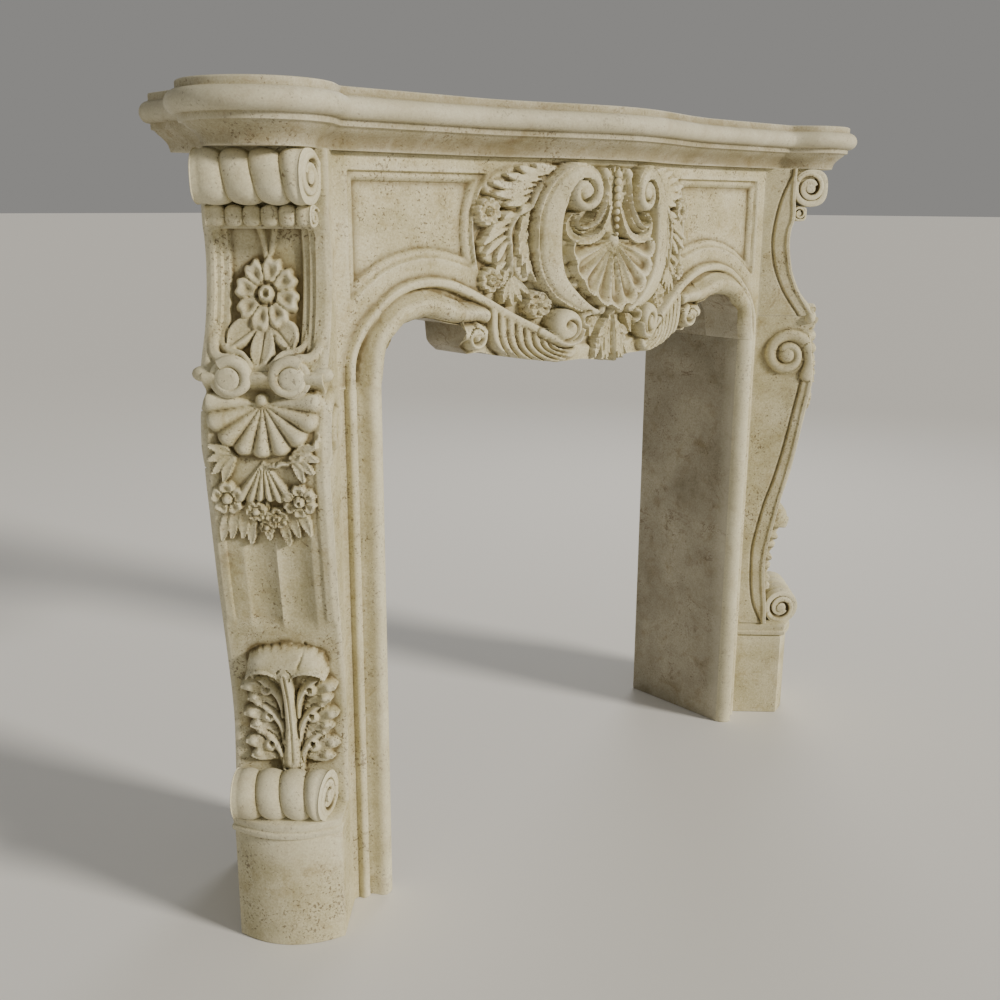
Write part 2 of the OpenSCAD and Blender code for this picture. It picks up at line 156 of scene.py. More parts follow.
class Relief:
    # Height of the carving over its ground, at points across (a) and up (b), in mm
    def __init__(self, a, b):
        self.a = a.ravel()
        self.b = b.ravel()
        self.h = np.zeros(a.size)
        self.form = a.shape

    def near(self, path, reach):
        # Points within reach of a path: which, their distance with its side, and how far along
        path = np.asarray(path, float)
        low = path.min(0) - reach
        high = path.max(0) + reach
        inX = (self.a > low[0]) & (self.a < high[0])
        w = np.nonzero(inX & (self.b > low[1]) & (self.b < high[1]))[0]
        p = np.stack([self.a[w], self.b[w]], 1)
        step = np.diff(path, axis=0)
        length = np.maximum(np.hypot(step[:, 0], step[:, 1]), 1e-6)
        before = np.concatenate([[0], np.cumsum(length)])
        best = np.full(len(w), 1e9)
        along = np.zeros(len(w))
        side = np.ones(len(w))
        for i in range(len(step)):
            q = p - path[i]
            t = np.clip(q @ step[i] / length[i] ** 2, 0, 1)
            away = q - t[:, None] * step[i]
            r = np.hypot(away[:, 0], away[:, 1])
            closer = r < best
            best[closer] = r[closer]
            along[closer] = before[i] + (t * length[i])[closer]
            cross = step[i][0] * q[:, 1] - step[i][1] * q[:, 0]
            side[closer] = np.where(cross[closer] < 0, -1.0, 1.0)
        keep = best < reach
        return w[keep], (best * side)[keep], along[keep] / before[-1]

    def lift(self, which, height):
        self.h[which] = np.maximum(self.h[which], height)

    def strand(self, path, width, height, section=roundBar, base=0.0, cut=2.5):
        # A bar of changing half width and height along a path, with a cut line beside it
        width = np.atleast_1d(width).astype(float)
        height = np.atleast_1d(height).astype(float)
        w, t, s = self.near(path, width.max() + cut + 0.5)
        half = np.interp(s, np.linspace(0, 1, len(width)), width)
        tall = np.interp(s, np.linspace(0, 1, len(height)), height)
        x = t / half
        beside = (np.abs(x) >= 1) & (np.abs(t) < half + cut)
        self.h[w[beside]] = np.minimum(self.h[w[beside]], 0.6 * self.h[w[beside]] - 0.5)
        inside = np.abs(x) < 1
        self.lift(w[inside], base + tall[inside] * section(x[inside]))

    def leaflet(self, root, tip, width, height, bend=0.0, section=scooped, base=0.0):
        # One slender leaf, widest past its middle, that rises towards its tip
        root = np.asarray(root, float)
        tip = np.asarray(tip, float)
        run = tip - root
        path = smoothPath([root, (root + tip) / 2 + bend * np.array([-run[1], run[0]]), tip], 5)
        w, t, s = self.near(path, width + 2.5)
        half = width * np.sin(math.pi * (0.05 + 0.86 * s ** 1.15)) ** 0.8
        x = t / half
        beside = (np.abs(x) >= 1) & (np.abs(t) < half + 1.6)
        self.h[w[beside]] = np.minimum(self.h[w[beside]], 0.88 * self.h[w[beside]] - 0.3)
        inside = np.abs(x) < 1
        self.lift(w[inside], base + height * (0.62 + 0.38 * s[inside]) * section(x[inside]))

    def mass(self, outline, height, soft=5.0):
        # Stone left standing under a spray, for the leaves to be cut from
        gap = self.inside(smoothPath(list(outline) + [outline[0]], 4)[:-1])
        self.lift(gap > 0, height * ease(gap[gap > 0] / soft))

    def groove(self, path, half, depth):
        # A cut line along a path, that dies out at its far end
        w, t, s = self.near(path, 3 * half)
        self.h[w] -= depth * np.exp(-(t / half) ** 2) * np.interp(s, [0, 0.08, 0.85, 1], [0.4, 1, 1, 0.2])

    def disc(self, centre, radius, height, flat=0.6, squash=1.0, base=0.0):
        # A dome, or with flat near 1 a button
        r = np.hypot((self.a - centre[0]) / squash, self.b - centre[1]) / radius
        w = np.nonzero(r < 1)[0]
        self.lift(w, base + height * (flat + (1 - flat) * (1 - r[w] ** 2)) * (1 - r[w] ** 8) ** 0.5)

    def pit(self, centre, radius, depth):
        # A drilled hole
        r = np.hypot(self.a - centre[0], self.b - centre[1]) / radius
        w = np.nonzero(r < 1)[0]
        self.h[w] -= depth * (1 - r[w] ** 2) ** 0.5

    def flower(self, centre, radius, petals, height, boss=0.27, turn=0.0, squash=1.0, base=0.0, hole=0.0):
        # Petals with a hollow in each and a heart-shaped rim, round a boss
        da = (self.a - centre[0]) / squash
        db = self.b - centre[1]
        r = np.hypot(da, db)
        w = np.nonzero(r < radius * 1.05)[0]
        r = r[w]
        phase = petals * (np.arctan2(db[w], da[w]) - math.radians(turn))
        rim = radius * (0.91 + 0.05 * np.cos(phase) - 0.05 * np.cos(2 * phase))
        x = r / rim
        valley = np.abs(np.cos(phase / 2)) ** 0.22
        dish = 0.42 * np.exp(-((x - 0.66) / 0.20) ** 2) * np.abs(np.cos(phase / 2)) ** 2.5
        petal = (0.55 + 0.45 * x - dish) * (0.25 + 0.75 * valley) * np.clip(1 - x ** 10, 0, 1) ** 0.5
        self.lift(w[x < 1], base + (height * petal)[x < 1])
        moat = np.abs(r / radius - boss * 1.15) < 0.05
        self.h[w[moat]] -= 0.25 * height
        self.disc(centre, boss * radius, height * 1.05, 0.75, squash, base)
        if hole:
            self.pit(centre, hole * radius, 0.55 * height)

    def volute(self, centre, outer, inner, start, turns, width, height, eye):
        # A band that winds in to an eye, over a low dish
        self.disc(centre, outer * 0.86, height[0] * 0.45, 1.0)
        self.strand(spiralPath(centre, outer, inner, start, turns), width, height, roundBar, 0, 1.2)
        self.disc(centre, inner * eye, height[-1] * 1.1, 0.6)

    def shell(self, origin, reach, aim, spread, ribs, low, high, hollow, lipHeight=0.0):
        # A fan of flutes (hollow) or of teardrop ribs, from its hinge to a scalloped lip
        da = self.a - origin[0]
        db = self.b - origin[1]
        r = np.hypot(da, db)
        w = np.nonzero(r < max(reach) * 1.12)[0]
        angle = np.degrees(np.arctan2(db[w], da[w])) - aim
        angle = (angle + 180) % 360 - 180
        part = angle / spread
        w = w[np.abs(part) < 1]
        part = part[np.abs(part) < 1]
        length = np.interp(np.abs(part), np.linspace(0, 1, len(reach)), reach)
        wave = np.abs(np.sin(math.pi * ribs * (part + 1) / 2))
        x = r[w] / (length * (0.94 + 0.06 * wave))
        w = w[x < 1]
        wave = wave[x < 1]
        x = x[x < 1]
        body = low + (high - low) * x ** 1.4
        if hollow:
            body = body - 0.62 * high * ease(x / 0.35) * wave ** 1.3 * np.clip(1.06 - x ** 6, 0, 1)
            body = body + lipHeight * ease((x - 0.86) / 0.08) * wave ** 0.5
        else:
            body = body * (0.30 + 0.70 * wave ** 0.7) * (1 - x ** 12) ** 0.5
        self.lift(w, body)

    def inside(self, outline):
        # Distance to a closed outline, positive within it
        path = np.vstack([outline, outline[:1]])
        w, t = self.near(path, 40.0)[:2]
        gap = np.full(self.a.size, -40.0)
        within = np.zeros(self.a.size, bool)
        for (x0, y0), (x1, y1) in zip(path[:-1], path[1:]):
            if y0 != y1:
                crosses = (self.b > min(y0, y1)) & (self.b <= max(y0, y1))
                within ^= crosses & (self.a < x0 + (self.b - y0) * (x1 - x0) / (y1 - y0))
        gap[within] = 40.0
        gap[w] = np.where(within[w], np.abs(t), -np.abs(t))
        return gap

    def waver(self, amount):
        # The small unevenness of a hand-worked surface
        a, b = self.a, self.b
        wave = np.sin(a / 11.3 + 1.7 * np.sin(b / 17.1)) + np.sin(b / 9.7 + 1.3 * np.sin(a / 13.9))
        fine = np.sin(a / 4.1 + b / 5.3) * np.sin(b / 3.7 - a / 6.1)
        self.h += amount * (0.35 * wave + 0.3 * fine)

    def grid(self):
        return self.h.reshape(self.form)


class Solid:
    # Closed shells gathered for one piece, in mm; each face keeps its material's number
    def __init__(self):
        self.points = []
        self.faces = []
        self.finish = []
        self.count = 0

    def add(self, points, faces, finish=0):
        self.points.append(np.asarray(points, float).reshape(-1, 3))
        self.faces += [tuple(int(k) + self.count for k in f) for f in faces]
        self.finish += [finish] * len(faces)
        self.count += len(self.points[-1])

    def rings(self, rings):
        # Closed loops joined one to the next, with a lid at each end
        n, m = rings.shape[:2]
        k = np.arange(n * m).reshape(n, m)
        nextK = np.roll(k, -1, 1)
        quads = np.stack([k[:-1], nextK[:-1], nextK[1:], k[1:]], -1).reshape(-1, 4)
        faces = [tuple(q) for q in quads] + [tuple(k[0][::-1]), tuple(k[-1])]
        self.add(rings, faces)

    def slab(self, front, back, finish, wallFinish):
        # A carved face (rows, columns, 3), its edge walls and its plain back
        n, m = front.shape[:2]
        k = np.arange(n * m).reshape(n, m)
        quads = np.stack([k[:-1, :-1], k[:-1, 1:], k[1:, 1:], k[1:, :-1]], -1).reshape(-1, 4)
        edge = np.concatenate([k[0, :-1], k[:-1, -1], k[-1, :0:-1], k[:0:-1, 0]])
        flat = front.reshape(-1, 3)
        loops = [edge]
        extra = []
        start = n * m
        for share in (0.35, 0.7, 1.0):
            loop = flat[edge] * (1 - share) + back(flat[edge]) * share
            extra.append(loop)
            loops.append(np.arange(start, start + len(edge)))
            start += len(edge)
        faces = [tuple(q) for q in quads]
        for one, two in zip(loops[:-1], loops[1:]):
            faces += list(zip(one, two, np.roll(two, -1), np.roll(one, -1)))
        faces.append(tuple(loops[-1][::-1]))
        self.add(np.vstack([flat] + extra), faces, finish)
        sides = len(faces) - len(quads)
        self.finish[-sides:] = [wallFinish] * sides

    def turned(self, place, profile, around):
        # Turned about an axis: place(axial, sideways, upright) puts it, profile is (axial, radius)
        angle = np.linspace(0, 2 * math.pi, around, endpoint=False)
        rings = np.array([place(s, r * np.cos(angle), r * np.sin(angle)) for s, r in profile])
        self.rings(rings)

    def piece(self, name, materials, sharp=38.0):
        mesh = bpy.data.meshes.new(name)
        mesh.from_pydata((np.vstack(self.points) / 1000).tolist(), [], self.faces)
        mesh.polygons.foreach_set("material_index", self.finish)
        work = bmesh.new()
        work.from_mesh(mesh)
        bmesh.ops.recalc_face_normals(work, faces=work.faces)
        work.to_mesh(mesh)
        work.free()
        mesh.polygons.foreach_set("use_smooth", [True] * len(mesh.polygons))
        mesh.set_sharp_from_angle(angle=math.radians(sharp))
        for material in materials:
            mesh.materials.append(material)
        markHollows(mesh)
        obj = bpy.data.objects.new(name, mesh)
        bpy.context.scene.collection.objects.link(obj)
        print(name, len(mesh.vertices), "points")
        return obj


def markHollows(mesh):
    # How far each point lies below its surroundings, in mm, for the painted shade in the recesses and the
    # painted highlight on raised edges
    n = len(mesh.vertices)
    co = np.zeros(n * 3)
    mesh.vertices.foreach_get("co", co)
    co = co.reshape(-1, 3) * 1000
    normal = np.zeros(n * 3)
    mesh.vertices.foreach_get("normal", normal)
    normal = normal.reshape(-1, 3)
    ends = np.zeros(len(mesh.edges) * 2, int)
    mesh.edges.foreach_get("vertices", ends)
    ends = ends.reshape(-1, 2)
    length = np.linalg.norm(co[ends[:, 0]] - co[ends[:, 1]], axis=1)
    ends = ends[length < 9.0]  # long plain edges carry nothing
    share = np.bincount(ends.ravel(), minlength=n) + 1e-9

    def blur(field, times):
        for turn in range(times):
            total = np.bincount(ends[:, 0], field[ends[:, 1]], n)
            total = total + np.bincount(ends[:, 1], field[ends[:, 0]], n)
            field = 0.35 * field + 0.65 * np.where(share > 0.5, total / share, field)
        return field

    hollow = np.zeros(n)
    for axis in range(3):
        soft = blur(co[:, axis], 10)
        wide = blur(soft, 60)
        hollow += (0.6 * (soft - co[:, axis]) + 0.4 * (wide - co[:, axis])) * normal[:, axis]
    # plain mouldings get less of the painted shade and highlight
    hollow = blur(np.clip(hollow, -6, 6), 2) * np.where(share > 2.5, 1.0, 0.4)  # plain mouldings hold less
    attribute = mesh.attributes.new("hollow", "FLOAT", "POINT")
    attribute.data.foreach_set("value", hollow.astype(np.float32))


def linear(hexColour):
    # sRGB hex to the linear colour that shaders take
    parts = [int(hexColour[i:i + 2], 16) / 255 for i in (1, 3, 5)]
    return [c / 12.92 if c <= 0.04045 else ((c + 0.055) / 1.055) ** 2.4 for c in parts] + [1.0]


def node(tree, kind, settings=None, inputs=None, links=None):
    # One node: its settings, its sockets' values, and links as {socket: (node, output)}
    made = tree.nodes.new(kind)
    for key, value in (settings or {}).items():
        setattr(made, key, value)
    for key, value in (inputs or {}).items():
        made.inputs[key].default_value = value
    for key, (source, output) in (links or {}).items():
        tree.links.new(source.outputs[output], made.inputs[key])
    return made


def travertine(name, look):
    # Cream travertine, sawn and carved: soft clouds, broken brown veins, open pits, painted shade in the
    # recesses and a painted highlight on raised edges
    material = bpy.data.materials.new(name)
    material.use_nodes = True
    tree = material.node_tree
    tree.nodes.clear()
    place = node(tree, "ShaderNodeTexCoord")
    hollow = node(tree, "ShaderNodeAttribute", {"attribute_name": "hollow"})
    # each noise: size in mm of one patch, detail, roughness, distortion
    noises = {
        "cloud": (look["cloudSize"], 5.0, 0.55, 0.4),
        "vein": (look["veinSize"], 6.0, 0.62, 1.1),
        "break": (look["veinSize"] * 0.8, 4.0, 0.6, 0.0),  # where the veins fade
        "pit": (look["pitSize"], 3.0, 0.6, 0.15),  # voids of one to three mm
        "bed": (70.0, 3.0, 0.6, 0.0),  # the loose beds that the pits lie in
        "speck": (3.2, 3.0, 0.7, 0.0),  # finer speckle, about a mm
        "stain": (38.0, 5.0, 0.68, 0.5),  # warm stains a few cm wide
        # patches that vary how strong the painted shade in the recesses is
        "recessShade": (26.0, 4.0, 0.6, 0.0),
        "grain": (1.6, 3.0, 0.6, 0.0),  # the tooled grain, too fine to carve
        "wave": (14.0, 3.0, 0.5, 0.0),
    }
    field = {}
    for key, (size, detail, rough, warp) in noises.items():
        inputs = {"Scale": 1000 / size, "Detail": detail, "Roughness": rough, "Distortion": warp}
        field[key] = (node(tree, "ShaderNodeTexNoise", None, inputs, {"Vector": (place, "Object")}), "Fac")

    # a vein runs where its noise passes the middle
    offMiddle = node(tree, "ShaderNodeMath", {"operation": "SUBTRACT"}, {1: 0.5}, {0: field["vein"]})
    veinGap = node(tree, "ShaderNodeMath", {"operation": "ABSOLUTE"}, None, {0: (offMiddle, "Value")})
    bedPush = node(tree, "ShaderNodeMath", {"operation": "MULTIPLY"}, {1: 0.42}, {0: field["bed"]})
    pitSum = node(tree, "ShaderNodeMath", {"operation": "ADD"}, None,
                  {0: field["pit"], 1: (bedPush, "Value")})
    # masks: what drives one, how it eases, the span that it reads and the span that it gives
    masks = {
        "vein": ((veinGap, "Value"), "SMOOTHSTEP", 0.0, look["veinWidth"], 1.0, 0.0),
        "broken": (field["break"], "LINEAR", 0.47, 0.62, 0.0, look["veins"]),
        "pit": ((pitSum, "Value"), "SMOOTHSTEP", look["pitLevel"], look["pitLevel"] + 0.045, 0.0, 1.0),
        "speck": (field["speck"], "LINEAR", 0.35, 0.70, 0.0, look["speck"]),
        "stain": (field["stain"], "LINEAR", 0.52, 0.74, 0.0, look["stain"]),
        # painted shade: darker colour in the recesses, its strength varied by a noise
        "recessShadePush": (field["recessShade"], "LINEAR", 0.25, 0.75, 0.55, 1.25),
        "deep": ((hollow, "Fac"), "LINEAR", 0.15, 2.3, 0.0, look["recessShade"]),
        # painted highlight: lighter colour on raised edges
        "edge": ((hollow, "Fac"), "LINEAR", -2.5, -0.2, look["edgeHighlight"], 0.0),
        "rough": (field["speck"], "LINEAR", 0.3, 0.7, look["rough"][0], look["rough"][1]),
    }
    mask = {}
    for key, (source, easing, *span) in masks.items():
        inputs = dict(zip(("From Min", "From Max", "To Min", "To Max"), span))
        made = node(tree, "ShaderNodeMapRange", {"interpolation_type": easing}, inputs, {"Value": source})
        mask[key] = (made, "Result")
    veins = node(tree, "ShaderNodeMath", {"operation": "MULTIPLY"}, None,
                 {0: mask["vein"], 1: mask["broken"]})
    pits = node(tree, "ShaderNodeMath", {"operation": "MULTIPLY"}, {1: 0.8}, {0: mask["pit"]})
    # how much painted shade each point gets
    recessShading = node(tree, "ShaderNodeMath", {"operation": "MULTIPLY", "use_clamp": True}, None,
                  {0: mask["deep"], 1: mask["recessShadePush"]})

    clouds = node(tree, "ShaderNodeValToRGB", None, None, {"Fac": field["cloud"]})
    clouds.color_ramp.elements.new(0.5)
    shades = ((0.30, "dark"), (0.52, "mid"), (0.72, "light"))
    for element, (at, shade) in zip(clouds.color_ramp.elements, shades):
        element.position = at
        element.color = linear(look[shade])
    # colours laid over the clouds one after another
    layers = [
        ("MIX", (veins, "Value"), look["vein"]),
        ("MIX", (pits, "Value"), look["pit"]),
        ("MULTIPLY", mask["speck"], "#a8946f"),
        ("MULTIPLY", mask["stain"], "#c6b488"),
        # painted shade in the recesses
        ("MIX", (recessShading, "Value"), look["recessShadeColour"]),
        # painted highlight on raised edges
        ("MIX", mask["edge"], look["edgeHighlightColour"]),
    ]
    colour = (clouds, "Color")
    for kind, amount, hexColour in layers:
        made = node(tree, "ShaderNodeMix", {"data_type": "RGBA", "blend_type": kind}, {7: linear(hexColour)},
                    {0: amount, 6: colour})
        colour = (made, 2)

    grainSoft = node(tree, "ShaderNodeMath", {"operation": "MULTIPLY"}, {1: look["grain"]},
                     {0: field["grain"]})
    dents = node(tree, "ShaderNodeMath", {"operation": "SUBTRACT"}, None,
                 {0: (grainSoft, "Value"), 1: mask["pit"]})
    surface = node(tree, "ShaderNodeMath", {"operation": "ADD"}, None,
                   {0: (dents, "Value"), 1: field["wave"]})
    bump = node(tree, "ShaderNodeBump", None, {"Strength": look["bump"], "Distance": 0.0012},
                {"Height": (surface, "Value")})
    shader = node(tree, "ShaderNodeBsdfPrincipled", None,
                  {"IOR": 1.49, "Specular IOR Level": look["gloss"], "Metallic": 0.0},
                  {"Base Color": colour, "Roughness": mask["rough"], "Normal": (bump, "Normal")})
    node(tree, "ShaderNodeOutputMaterial", None, None, {"Surface": (shader, "BSDF")})
    return material


carvedLook = {
    "light": "#dcd6b6", "mid": "#cfc8a4", "dark": "#bab28a", "cloudSize": 85.0,
    "vein": "#9c8a6c", "veinSize": 60.0, "veinWidth": 0.016, "veins": 0.55,
    "pit": "#76664a", "pitSize": 4.2, "pitLevel": 0.83, "speck": 0.45, "stain": 0.6,
    # painted shade in the recesses and a painted highlight on raised edges
    "recessShade": 1.0, "recessShadeColour": "#746540", "edgeHighlight": 0.35, "edgeHighlightColour": "#e8e3ca",
    "rough": (0.55, 0.75), "grain": 0.5, "bump": 0.55, "gloss": 0.35,
}
# honed and sealed: smoother, so it looks greyer and its veins show
honedLook = dict(carvedLook, light="#c0baa3", mid="#aca58f", dark="#948d76", cloudSize=120.0, veins=0.85,
                 vein="#7e6c50", veinSize=75.0, veinWidth=0.02, pitLevel=0.86, rough=(0.34, 0.5), bump=0.25,
                 gloss=0.45)
# the shelf gets less painted shade in its recesses
shelfLook = dict(carvedLook, light="#cbc5ab", mid="#bbb497", dark="#a79e7b", veins=0.8, recessShade=0.6,
                 pitLevel=0.84)
travertineCarved = travertine("travertine_carved_with_painted_shade_and_highlight", carvedLook)
travertineHoned = travertine("travertine_honed", honedLook)
travertineShelf = travertine("travertine_shelf_run_moulding", shelfLook)
print("stone ready")

shelf = {
    "over": 13.0,  # underside in front of the frieze
    "bowRadius": 72.0,
    "bowReach": 77.0,
    "sideX": 636.0,
    # the run moulding, as distance out and up from the edge of the underside
    "section": [(0, 0), (1.5, 0), (2.5, 1.5), (3, 4), (5, 10), (9, 15), (14, 19.5), (19, 23), (23, 26.5),
                (25, 28.5), (26, 29.2), (29.6, 29.6), (30.2, 31), (30.4, 37), (31, 38.2), (36, 38.6),
                (40.5, 40.6), (44, 44), (46.2, 48), (47, 52.5), (46.4, 57), (44.4, 61.4), (41, 65.2),
                (36.5, 67.8), (32.6, 69), (31.6, 70.2), (31.8, 77.4), (31, 79), (29.2, 80)],
}


def shelfOutline(out):
    radius = shelf["bowRadius"] + out
    front = -shelf["over"] - out
    tongue = middle - radius
    edge = cantedPlace(1, tongue, 0.0, 0.0)
    faceY = layout["facePlane"] + front
    joinX = edge[0] - (faceY - edge[1])
    x = np.linspace(0, joinX - 7, 84)
    line = np.stack([x, frontY(x) + front], 1)
    foot = np.array([joinX, faceY])
    start = cantedPlace(1, tongue, shelf["bowReach"], 0.0)[:2]
    way = (start - foot) / np.linalg.norm(start - foot)
    soft = smoothPath([line[-1], foot + (way - [1, 0]) * 1.6, foot + way * 7], 4)[1:]
    straight = np.linspace(soft[-1], start, 7)[1:]
    angle = np.radians(np.linspace(-90, 90, 61))[1:]
    reach = shelf["bowReach"] + radius * np.cos(angle)
    arc = cantedPlace(1, middle + radius * np.sin(angle), reach, 0.0)[:, :2]
    sideX = shelf["sideX"] + out
    outer = arc[-1]
    corner = np.array([sideX, outer[1] + (outer[0] - sideX)])
    run = np.linspace(outer, corner, 8)[1:]
    back = np.linspace(corner, [sideX, layout["wall"]], 12)[1:]
    right = np.vstack([line, soft, straight, arc, run, back])
    left = right[:0:-1] * [-1, 1]
    return np.vstack([right, left])


def makeShelf():
    solid = Solid()
    levels = []
    for out, up in shelf["section"]:
        plan = shelfOutline(out)
        levels.append(np.column_stack([plan, np.full(len(plan), topZ + up)]))
    solid.rings(np.array(levels))
    piece = solid.piece("shelf_stone", [travertineShelf], 50)
    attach(piece, "root")
    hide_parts("shelf")


makeShelf()

frieze = {
    # from, to and how many columns of the carved face
    "columns": [(0, 240, 122), (240, 296, 30), (296, 303, 10), (303, 424, 48), (424, 450.4, 26),
                (450.4, 527, 32)],
    "rows": 150,
    # lower edge, as distance from the middle and height over the joint
    "underside": [(0, 3), (60, 10), (110, 8), (180, 18), (225, 26), (248, 33), (262, 32), (274, 31),
                  (288, 42), (294, 50), (295.5, 60), (297, 79), (324, 84), (349, 92), (368, 94), (386, 92),
                  (403, 88), (415, 80), (424, 72), (434, 61), (440, 52), (445, 30), (448, 12), (449.6, 2),
                  (450, 0), (527, 0)],
    # the moulding beside the opening, as distance from the arch and height off the face
    "torus": [(0, 4), (2, 10), (5, 16), (9, 20.5), (13, 23), (18, 25), (23, 25), (28, 22), (31, 17), (34, 12),
              (37, 8), (40, 5.5), (41.6, 4.5), (42, 0)],
    "panelDepth": 13.0,
}
# half outlines, as distance from the middle and height over the joint
archEdge = [(450, -4), (450, 1), (447, 16), (440, 55), (424, 72), (403, 88), (368, 94), (349, 92), (324, 86),
            (297, 81), (268, 81), (243, 76)]
beadLine = [(500, -4), (500, 1), (499, 36), (491, 60), (476, 84), (452, 108), (419, 131), (385, 143),
            (350, 146), (316, 142), (279, 129), (245, 112), (217, 96), (184, 78), (149, 61), (120, 50)]
panelEdge = [(235, 307), (494, 307), (494, 124), (468, 144), (435, 164), (402, 176), (368, 182), (347, 183),
             (319, 180), (290, 173), (267, 165), (256, 170), (261, 190), (264, 222), (261, 250), (252, 280)]
groundEdge = [(-60, 326), (60, 326), (90, 328), (140, 326), (180, 322), (214, 316), (236, 302), (252, 276),
              (260, 250), (262, 222), (258, 185), (250, 150), (240, 118), (217, 102), (184, 84), (149, 66),
              (118, 60), (60, 30), (-60, 30)]


def carveMouldings(r):
    # Sunk side panel with two fillets, then the two mouldings that follow the arch
    gap = r.inside(np.array(panelEdge, float))
    depth = frieze["panelDepth"]
    r.h -= 0.45 * depth * ease(gap / 1.8) + 0.2 * depth * ease((gap - 8.5) / 2.0)
    r.h -= 0.35 * depth * ease((gap - 12.5) / 1.8)
    r.h -= 1.6 * np.exp(-((gap - 13.5) / 1.3) ** 2) + 1.2 * np.exp(-((gap - 1.0) / 1.2) ** 2)
    sunk = r.inside(smoothPath(groundEdge, 4))
    r.h -= 8.0 * ease(sunk / 7.0)
    w, t, s = r.near(smoothPath(archEdge, 6), 43.0)
    scale = np.interp(s, [0, 0.55, 0.75, 1], [1, 1, 0.86, 0.72])
    t = np.abs(t) / scale
    off, tall = np.array(frieze["torus"], float).T
    keep = t < 42
    fade = np.interp(s[keep], [0, 0.93, 0.985, 1], [1, 1, 0.85, 0.3])
    r.lift(w[keep], np.interp(t[keep], off, tall) * fade)
    bead = smoothPath(beadLine, 6)
    r.strand(bead, [7.2, 7.2, 8.0, 8.5, 9.0], [9.5, 9.5, 11, 15, 19], flatBar, 0, 0)


def carveScrolls(r):
    # Reed-like blades under the S-curve, cut as long sweeping lines from one mass
    r.mass([(243, 110), (217, 98), (184, 80), (149, 63), (124, 52), (104, 42), (84, 40), (79, 26), (88, 14),
            (114, 5), (150, 8), (182, 14), (212, 24), (232, 36), (246, 70)], 17, 7.0)
    for k in range(9):
        part = k / 8
        rx, rz = 240 - 118 * part, 108 - 58 * part
        tx = np.interp(part, [0, 0.25, 0.5, 0.75, 1], [212, 168, 124, 92, 102])
        tz = np.interp(part, [0, 0.25, 0.5, 0.75, 1], [24, 12, 7, 13, 31])
        line = smoothPath([(rx, rz), (rx * 0.86 + tx * 0.14 + 3, rz * 0.50 + tz * 0.50),
                           (rx * 0.45 + tx * 0.55 + 6, rz * 0.20 + tz * 0.80), (tx, tz)], 6)
        r.groove(line, 1.7, 8.0)
        r.groove(line + [4.2, 1.5], 1.0, 2.4)
    for eye in [(213, 89), (179, 72), (146, 55)]:
        r.pit(eye, 4.2, 12)
    # end scroll under the torus, and the big spiral that closes the S-curve
    r.volute((270, 57), 21.0, 8.0, 100, 1.2, [5.5, 6.0, 5.5, 4.5], [20, 22, 24, 24], 0.9)
    bead = smoothPath(beadLine, 6)
    r.strand(bead, [7.2, 7.2, 8.0, 8.5, 9.0], [9.5, 9.5, 11, 16, 21], flatBar, 0, 0)
    under = smoothPath([(150, 60), (124, 46), (104, 38), (84, 43), (76, 60)], 6)
    r.strand(under, [7, 6.5, 6, 6, 5.5], [18, 21, 24, 25, 26], roundBar, 0, 2)
    r.disc((104, 68), 28.5, 28, 0.90, 0.98)
    r.groove(spiralPath((104, 67), 23.0, 5.0, 290, -0.95), 2.3, 9.0)
    r.pit((107, 70), 4.5, 7)


def carveLeaves(r):
    # Sprays of finger leaves between the panel and the big C
    r.mass([(110, 322), (160, 325), (200, 318), (238, 300), (244, 284), (222, 264), (186, 246), (166, 250),
            (140, 285)], 3.5, 4)
    r.mass([(180, 250), (218, 250), (244, 218), (252, 190), (236, 172), (206, 172), (190, 200)], 3, 4)
    r.mass([(150, 150), (160, 260), (190, 230), (192, 170), (176, 140)], 4, 4)
    stem = smoothPath([(104, 322), (121, 309), (144, 292), (158, 274), (167, 256), (188, 244), (201, 222),
                       (200, 195), (197, 160), (197, 122)], 5)
    r.strand(stem, [3.5, 4.5, 4.5, 4.0, 3.0], [16, 15, 13, 12, 9], roundBar, 0, 1)
    spray = [((122, 316), (160, 321)), ((133, 309), (188, 317)), ((145, 300), (210, 307)),
             ((155, 291), (234, 294)), ((162, 282), (230, 277)), ((166, 273), (208, 261)),
             ((167, 263), (184, 250))]
    for root, tip in spray:
        r.leaflet(root, tip, 7.4, 16, -0.06, softHollow)
    low = [((186, 246), (214, 240)), ((197, 237), (240, 217)), ((201, 226), (250, 201)),
           ((203, 214), (247, 184)), ((203, 205), (226, 174))]
    for root, tip in low:
        r.leaflet(root, tip, 6.4, 15, 0.05, softHollow)
    hang = [((200, 165), (214, 138)), ((198, 150), (213, 110)), ((197, 146), (197, 105)),
            ((195, 150), (182, 112)), ((192, 150), (168, 122)), ((205, 172), (228, 160))]
    for root, tip in hang:
        r.leaflet(root, tip, 5.8, 14, 0.03)
    # tall serrated leaf against the C
    for root, tip in [((166, 250), (184, 222)), ((168, 236), (188, 204)), ((168, 220), (187, 185)),
                      ((166, 204), (182, 168)), ((163, 190), (172, 152)), ((158, 180), (158, 143))]:
        r.leaflet(root, tip, 6.8, 17, 0.05)
    r.flower((239, 250), 24, 8, 17, 0.24, 12, 0.95, 0, 0.14)
    r.flower((234, 145), 21, 6, 16, 0.36, 30, 1.0, 0, 0.22)
    r.flower((151, 104), 24, 5, 19, 0.25, 60, 1.0)
    for turn in range(5):
        angle = math.radians(72 * turn + 20)
        tip = (151 + 20 * math.cos(angle), 104 + 20 * math.sin(angle))
        r.leaflet((151, 104), tip, 6.0, 21, 0.12, scooped)


